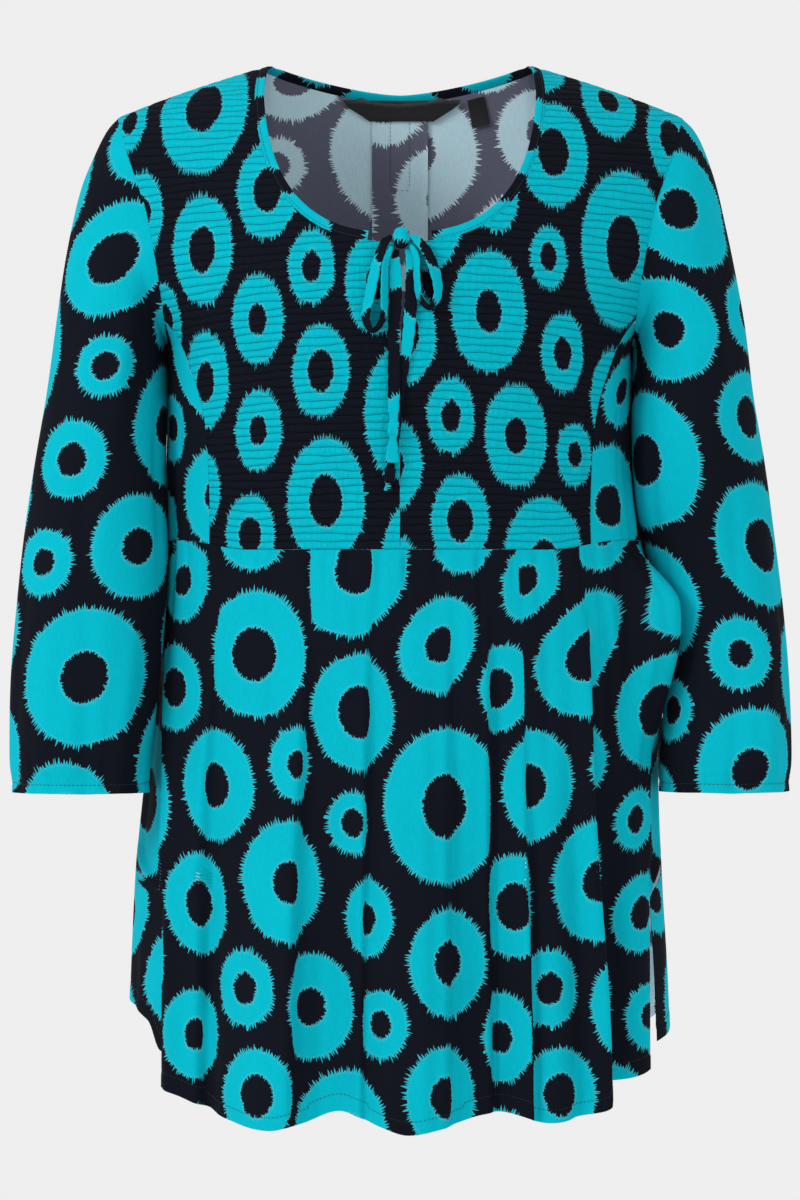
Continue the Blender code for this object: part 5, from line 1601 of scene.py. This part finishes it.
# ----------------------------------------------------------------------------- neck binding and ties
@dataclass
class NeckBinding:
    """The bias binding round the neck, a folded strip that stands a little proud of the cloth."""

    form: BodyForm
    width: float = 0.007
    proud: float = 0.0005
    spacing: float = 0.0022
    ease_over: float = 0.012
    bias: float = 0.72  # share of the strip's length and width that runs along each way of the print
    print_place: tuple[float, float] = (0.03, 0.11)

    def edge(self, yokes: tuple[Yoke, Yoke], back: Back) -> tuple[Array, Array]:
        """The cloth's edge round the neck, from the slit's right side to its left side, and its normals."""
        parts = []
        for yoke in yokes:
            base, normals = yoke.sheet()[:2]
            points, ways = base[:, 0], normals[:, 0]
            shown = points[:, 2] > -(self.form.neck_opening_drop + self.width)
            parts.append((points[shown], ways[shown]))
        grid = back.sheet()
        normals = level_at_seam(grid, grid_normals(grid))
        on_neck = np.abs(grid[0, :, 0]) < self.form.neck_point_x + self.width + 2.0 * self.form.seam_gap
        right, left, middle = parts[1], parts[0], (grid[0][on_neck][::-1], normals[0][on_neck][::-1])
        joined = [np.concatenate([right[k][::-1], middle[k], left[k]]) for k in range(2)]
        along = arc_lengths(joined[0][None], 1)[0]
        even = np.linspace(0.0, along[-1], int(along[-1] / self.spacing) + 1)
        path, ways = (np.stack([np.interp(even, along, part[:, n]) for n in range(3)], axis=-1)
                      for part in joined)
        kernel = np.array([1.0, 2.0, 3.0, 2.0, 1.0]) / 9.0
        padded = np.pad(ways, ((2, 2), (0, 0)), mode="edge")
        ways = np.stack([np.convolve(padded[:, n], kernel, mode="valid") for n in range(3)], axis=-1)
        return path, ways / np.linalg.norm(ways, axis=1, keepdims=True)

    def build(self, yokes: tuple[Yoke, Yoke], back: Back, finishes: Finishes) -> list[bpy.types.Object]:
        """Makes the binding and the stitches along it."""
        edge, normals = self.edge(yokes, back)
        near_seam = np.exp(-((edge[:, 1] / self.ease_over) ** 2))[:, None]
        steps = np.diff(edge, axis=0)
        steps /= np.linalg.norm(steps, axis=1, keepdims=True)
        along = np.vstack([steps[:1], steps[:-1] + steps[1:], steps[-1:]])
        across = np.cross(normals, along)
        across /= np.linalg.norm(across, axis=1, keepdims=True)
        across = across if across[len(across) // 2, 2] > 0.0 else -across
        edge = edge + across * near_seam * 2.0 * self.form.seam_gap
        length = arc_lengths(edge[None], 1)[0]
        low, high, far = self.form.seam_gap - 0.0004, self.proud, self.width + self.form.seam_gap
        profile = ((low, 0.15), (low + 0.0012, 0.75), (low + 0.0022, 0.45), (low + 0.0034, 1.0),
                   (far - 0.0012, 1.0), (far - 0.0003, 0.5), (far, -0.6), (far - 0.0005, -1.9),
                   (far - 0.0018, -2.4), (low + 0.0020, -2.3), (low, -1.4))
        pucker = 1.0 + 0.5 * np.sin(length * 1270.0) * np.sin(length * 310.0 + 1.0)
        rings = []
        for reach, rise in profile:
            height = rise * high * np.where(rise > 0.0, pucker, 1.0)
            rings.append(edge + across * reach + normals * height[:, None])
        grid = np.swapaxes(np.array(rings), 0, 1)
        turn = arc_lengths(grid, 1)
        turn = np.concatenate([turn, turn[:, -1:] + 0.001], axis=1)
        run = np.broadcast_to(length[:, None], turn.shape)
        flat = np.stack([(run + turn) * self.bias + self.print_place[0],
                         (run - turn) * self.bias + self.print_place[1]], axis=-1)
        piece = place_piece(solid_strip("neck_binding_cloth", grid, flat, finishes.face),
                            ("neck_binding",))
        path = edge + across * (low + 0.0020) + normals * (0.5 * high)
        stitches = place_piece(sew("neck_binding_stitches", [StitchLine(path, normals, pitch=0.0028)],
                                   finishes.dark_thread))
        return [piece, stitches]


def solid_strip(name: str, grid: Array, flat: Array, material: bpy.types.Material) -> bpy.types.Object:
    """A closed strip from rings of points along its length, capped at both ends.

    Args:
        name: The piece's name.
        grid: Rings of points, one for each step along the strip.
        flat: The flat map, with one column more than the rings have points.
        material: The finish.

    Returns:
        The object, linked to the scene.
    """
    steps, count = grid.shape[:2]
    faces, places = [], []
    for i in range(steps - 1):
        for j in range(count):
            spots = ((i, j), (i, j + 1), (i + 1, j + 1), (i + 1, j))
            faces.append([a * count + b % count for a, b in spots])
            places.extend(spots)
    for i in (0, steps - 1):
        spots = [(i, j) for j in range(count)]
        spots = spots[::-1] if i == 0 else spots
        faces.append([a * count + b for a, b in spots])
        places.extend(spots)
    mesh = bpy.data.meshes.new(name)
    mesh.from_pydata(grid.reshape(-1, 3).tolist(), [], faces)
    add_map(mesh, "cloth", flat, np.array(places))
    mesh.shade_smooth()
    mesh.set_sharp_from_angle(angle=SHARP_STRIP)
    mesh.materials.append(material)
    return linked(name, mesh)


@dataclass(frozen=True)
class TiePlace:
    """A place along a tie: where it is on the front, how far out, its width, thickness and roll."""

    x: float
    z: float
    out: float
    width: float
    thick: float
    roll: float = 0.0


@dataclass
class Tie:
    """A folded strip of cloth that follows its places on the front."""

    name: str
    places: tuple[TiePlace, ...]
    print_place: tuple[float, float]
    print_turn: float  # degrees that the strip is turned on the print
    cut: tuple[float, float]
    held: Hold = Hold.HUNG
    print_scale: float = 1.2
    chest_slope: float = 0.12  # how far the front of the chest looks up
    steps: int = 9
    sides: int = 20

    def build(self, form: BodyForm, finishes: Finishes) -> bpy.types.Object:
        """Makes the tie."""
        table = spline([(p.x, p.z, p.out, p.width, p.thick, p.roll) for p in self.places], self.steps)
        x, z, out, width, thick, roll = table.T
        facing = np.array([0.0, -1.0, self.chest_slope]) / math.hypot(1.0, self.chest_slope)
        path = form.point(-1, x, z) + facing * out[:, None]
        along = np.gradient(path, axis=0)
        along /= np.linalg.norm(along, axis=1, keepdims=True)
        sideways = np.cross(along, facing)
        sideways /= np.linalg.norm(sideways, axis=1, keepdims=True)
        normal = np.cross(sideways, along)
        turn = np.radians(roll)[:, None]
        wide = sideways * np.cos(turn) + normal * np.sin(turn)
        high = normal * np.cos(turn) - sideways * np.sin(turn)
        length = arc_lengths(path[None], 1)[0]
        rings = []
        for angle in np.linspace(0.0, 2.0 * math.pi, self.sides, endpoint=False):
            a, b = math.cos(angle), math.sin(angle)
            a, b = math.copysign(abs(a) ** 0.75, a), math.copysign(abs(b) ** 0.6, b)
            dent = 1.0 - 0.34 * math.exp(-((a / 0.42) ** 2)) * (0.6 + 0.4 * np.sin(length * 420.0 + 2.0 * b))
            ripple = 1.0 + 0.06 * np.sin(length * 690.0 + 3.0 * a) + 0.04 * np.sin(length * 1400.0)
            beside, above = (0.5 * a * width * ripple)[:, None], (0.5 * b * thick * dent)[:, None]
            rings.append(path + wide * beside + high * above)
        grid = np.swapaxes(np.array(rings), 0, 1)
        over = np.append(arc_lengths(grid, 1), arc_lengths(grid, 1)[:, -1:] + 0.001, axis=1)
        run = np.broadcast_to(length[:, None], over.shape)
        lie = math.radians(self.print_turn)
        way = np.array([math.cos(lie), math.sin(lie)])
        flat = run[..., None] * way + over[..., None] * np.array([-way[1], way[0]])
        flat = (flat + np.array(self.print_place)) * self.print_scale
        piece = place_piece(solid_strip(f"{self.name}_cloth", grid, flat, finishes.face),
                            (self.name,))
        return piece


@dataclass
class Bow:
    """The bow at the top of the slit: its knot, two loops and two tails with knotted ends."""

    form: BodyForm
    knot_place: tuple[float, float] = (0.0008, -0.1350)
    knot_out: float = 0.0068
    knot_radii: tuple[float, float, float] = (0.0062, 0.0048, 0.0080)
    loop_right: tuple[TiePlace, ...] = (
        TiePlace(0.0078, -0.1345, 0.0068, 0.0030, 0.0030),
        TiePlace(0.0125, -0.1375, 0.0072, 0.0065, 0.0026, 20.0),
        TiePlace(0.0205, -0.1480, 0.0078, 0.0095, 0.0020, 35.0),
        TiePlace(0.0262, -0.1640, 0.0080, 0.0095, 0.0018, 40.0),
        TiePlace(0.0272, -0.1780, 0.0080, 0.0090, 0.0018, 55.0),
        TiePlace(0.0212, -0.1868, 0.0080, 0.0085, 0.0018, 75.0),
        TiePlace(0.0140, -0.1785, 0.0080, 0.0080, 0.0018, 60.0),
        TiePlace(0.0122, -0.1640, 0.0078, 0.0075, 0.0018, 55.0),
        TiePlace(0.0118, -0.1500, 0.0070, 0.0060, 0.0022, 40.0),
        TiePlace(0.0078, -0.1412, 0.0068, 0.0030, 0.0030),
    )
    loop_left: tuple[TiePlace, ...] = (
        TiePlace(-0.0062, -0.1345, 0.0068, 0.0030, 0.0030),
        TiePlace(-0.0115, -0.1400, 0.0072, 0.0065, 0.0026, -20.0),
        TiePlace(-0.0172, -0.1560, 0.0078, 0.0085, 0.0020, -30.0),
        TiePlace(-0.0215, -0.1760, 0.0080, 0.0090, 0.0018, -35.0),
        TiePlace(-0.0248, -0.1940, 0.0080, 0.0090, 0.0018, -50.0),
        TiePlace(-0.0195, -0.2035, 0.0080, 0.0085, 0.0018, -75.0),
        TiePlace(-0.0122, -0.1940, 0.0080, 0.0085, 0.0018, -60.0),
        TiePlace(-0.0112, -0.1740, 0.0080, 0.0080, 0.0018, -50.0),
        TiePlace(-0.0105, -0.1540, 0.0074, 0.0060, 0.0022, -40.0),
        TiePlace(-0.0062, -0.1425, 0.0068, 0.0030, 0.0030),
    )
    tail_left: tuple[TiePlace, ...] = (
        TiePlace(-0.0022, -0.1440, 0.0036, 0.0035, 0.0026),
        TiePlace(-0.0040, -0.1520, 0.0034, 0.0080, 0.0020),
        TiePlace(-0.0030, -0.1700, 0.0034, 0.0095, 0.0016),
        TiePlace(-0.0044, -0.2000, 0.0034, 0.0088, 0.0016),
        TiePlace(-0.0044, -0.2330, 0.0044, 0.0086, 0.0016),
        TiePlace(-0.0046, -0.2560, 0.0056, 0.0084, 0.0022),
        TiePlace(-0.0046, -0.2680, 0.0060, 0.0062, 0.0030),
        TiePlace(-0.0046, -0.2715, 0.0066, 0.0088, 0.0062),
        TiePlace(-0.0048, -0.2765, 0.0066, 0.0088, 0.0064),
        TiePlace(-0.0050, -0.2805, 0.0060, 0.0056, 0.0032),
        TiePlace(-0.0056, -0.2900, 0.0056, 0.0088, 0.0024),
        TiePlace(-0.0058, -0.2985, 0.0054, 0.0100, 0.0018),
    )
    tail_right: tuple[TiePlace, ...] = (
        TiePlace(0.0050, -0.1436, 0.0036, 0.0035, 0.0026),
        TiePlace(0.0082, -0.1520, 0.0034, 0.0080, 0.0020),
        TiePlace(0.0088, -0.1650, 0.0034, 0.0094, 0.0016),
        TiePlace(0.0076, -0.1860, 0.0034, 0.0092, 0.0016),
        TiePlace(0.0062, -0.2050, 0.0030, 0.0088, 0.0016),
        TiePlace(0.0030, -0.2250, 0.0020, 0.0086, 0.0014),
        TiePlace(-0.0010, -0.2500, 0.0018, 0.0084, 0.0014),
        TiePlace(-0.0040, -0.2780, 0.0018, 0.0080, 0.0014),
        TiePlace(-0.0064, -0.2985, 0.0020, 0.0056, 0.0018),
        TiePlace(-0.0072, -0.3045, 0.0042, 0.0082, 0.0062),
        TiePlace(-0.0076, -0.3095, 0.0042, 0.0080, 0.0060),
        TiePlace(-0.0080, -0.3135, 0.0030, 0.0050, 0.0030),
        TiePlace(-0.0086, -0.3185, 0.0028, 0.0066, 0.0020),
    )

    def knot(self, finishes: Finishes) -> bpy.types.Object:
        """Makes the knot: a rounded lump with the wraps of the tie across it."""
        centre = self.form.point(-1, np.array(self.knot_place[0]), np.array(self.knot_place[1]))
        centre = centre + np.array([0.0, -self.knot_out, 0.0])
        turns = np.linspace(0.0, 2.0 * math.pi, 40, endpoint=False)
        heights = np.linspace(-0.98, 0.98, 25)
        rings = []
        for height in heights:
            radius = math.sqrt(1.0 - height**2)
            slant = 7.0 * height + 1.2 * np.sin(turns)
            wrap = 1.0 + 0.07 * np.cos(slant) + 0.05 * np.sin(3.0 * turns + 4.0 * height)
            x = centre[0] + self.knot_radii[0] * radius * np.cos(turns) * wrap
            y = centre[1] + self.knot_radii[1] * radius * np.sin(turns) * wrap
            rings.append(np.stack([x, y, centre[2] - self.knot_radii[2] * height + 0.0 * x], axis=-1))
        grid = np.array(rings)
        over = np.linspace(0.0, 0.035, len(turns) + 1)
        flat = np.stack(np.broadcast_arrays(over[None] + 0.095, heights[:, None] * 0.008 + 0.225), axis=-1)
        return place_piece(solid_strip("bow_knot_cloth", grid, flat, finishes.face),
                           ("bow_knot",))

    def build(self, finishes: Finishes) -> list[bpy.types.Object]:
        """Makes the whole bow."""
        ties = (
            Tie("bow_loop_left", self.loop_left, (0.144, 0.156), 330.0, (0.010, 0.145), Hold.FOLDED),
            Tie("bow_loop_right", self.loop_right, (0.288, 0.282), 130.0, (0.010, 0.115), Hold.FOLDED),
            Tie("tie_tail_left", self.tail_left, (0.234, 0.084), 170.0, (0.010, 0.158)),
            Tie("tie_tail_right", self.tail_right, (0.120, 0.300), 80.0, (0.010, 0.178)),
        )
        return [self.knot(finishes), *(tie.build(self.form, finishes) for tie in ties)]


# ----------------------------------------------------------------------------- studio
@dataclass
class Studio:
    """A pale floor under the blouse, soft light all round, and the camera in front of it."""

    distance: float = 3.6
    eye_z: float = -0.3975
    view_height: float = 0.900
    floor_z: float = -1.42
    floor_radius: float = 4.2
    world_strength: float = 0.86

    def light(self, name: str, place: tuple[float, float, float], size: float, power: float) -> None:
        """Adds a soft light that is aimed at the blouse's middle."""
        lamp = bpy.data.lights.new(name, "AREA")
        lamp.shape = "DISK"
        lamp.size = size
        lamp.energy = power
        holder = linked(name, lamp)
        holder.location = place
        aim = Vector((0.0, 0.0, self.eye_z)) - Vector(place)
        holder.rotation_euler = aim.to_track_quat("-Z", "Y").to_euler()

    def floor(self) -> None:
        """Adds the floor."""
        mesh = bpy.data.meshes.new("studio_floor")
        rim = [(self.floor_radius * math.cos(a), self.floor_radius * math.sin(a), self.floor_z)
               for a in np.linspace(0.0, 2.0 * math.pi, 96, endpoint=False)]
        mesh.from_pydata(rim, [], [tuple(range(len(rim)))])
        mesh.materials.append(StudioFloor().build())
        floor = linked("studio_floor", mesh)

    def camera(self) -> None:
        """Adds the camera, level and straight in front."""
        lens = bpy.data.cameras.new("camera")
        lens.sensor_fit = "VERTICAL"
        lens.sensor_height = 36.0
        lens.lens = lens.sensor_height * self.distance / self.view_height
        camera = linked("camera", lens)
        camera.location = (0.0, -self.distance, self.eye_z)
        camera.rotation_euler = (math.pi / 2.0, 0.0, 0.0)
        bpy.context.scene.camera = camera

    def build(self) -> None:
        """Makes the studio."""
        world = bpy.data.worlds.new("studio")
        world.use_nodes = True
        sky = world.node_tree.nodes["Background"]
        sky.inputs["Color"].default_value = (1.0, 1.0, 1.0, 1.0)
        sky.inputs["Strength"].default_value = self.world_strength
        bpy.context.scene.world = world
        bpy.context.scene.view_settings.view_transform = "Standard"
        self.camera()
        self.floor()
        self.light("key", (-2.5, -2.0, 1.3), 1.2, 56.0)
        self.light("fill", (2.2, -2.4, 0.4), 1.8, 12.0)


def main() -> None:
    """Builds the studio and the blouse, piece by piece."""
    logging.basicConfig(level=logging.INFO, format="%(name)s: %(message)s")
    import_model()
    Studio().build()
    form, finishes = BodyForm(), Finishes.make()
    yokes = (Yoke(form, Side.LEFT, print_place=(0.020, 0.050)),
             Yoke(form, Side.RIGHT, print_place=(0.215, 0.160)))
    for yoke in yokes:
        yoke.build(finishes)
    SidePanel(form, Side.LEFT, print_place=(0.120, 0.100)).build(finishes)
    SidePanel(form, Side.RIGHT, print_place=(0.300, 0.260)).build(finishes)
    FrontSkirt(form).build(finishes)
    back = Back(form)
    InsideNeck(form, back.build(finishes)).build(finishes)
    for side, place in ((Side.LEFT, (0.110, 0.200)), (Side.RIGHT, (0.260, 0.040))):
        Sleeve(form, side, SLEEVE_OUTER_X[side], SLEEVE_INNER_X[side], SLEEVE_FORWARD[side],
               print_place=place).build(finishes)
    NeckBinding(form).build(yokes, back, finishes)
    Bow(form).build(finishes)


if __name__ == "__main__":
    main()
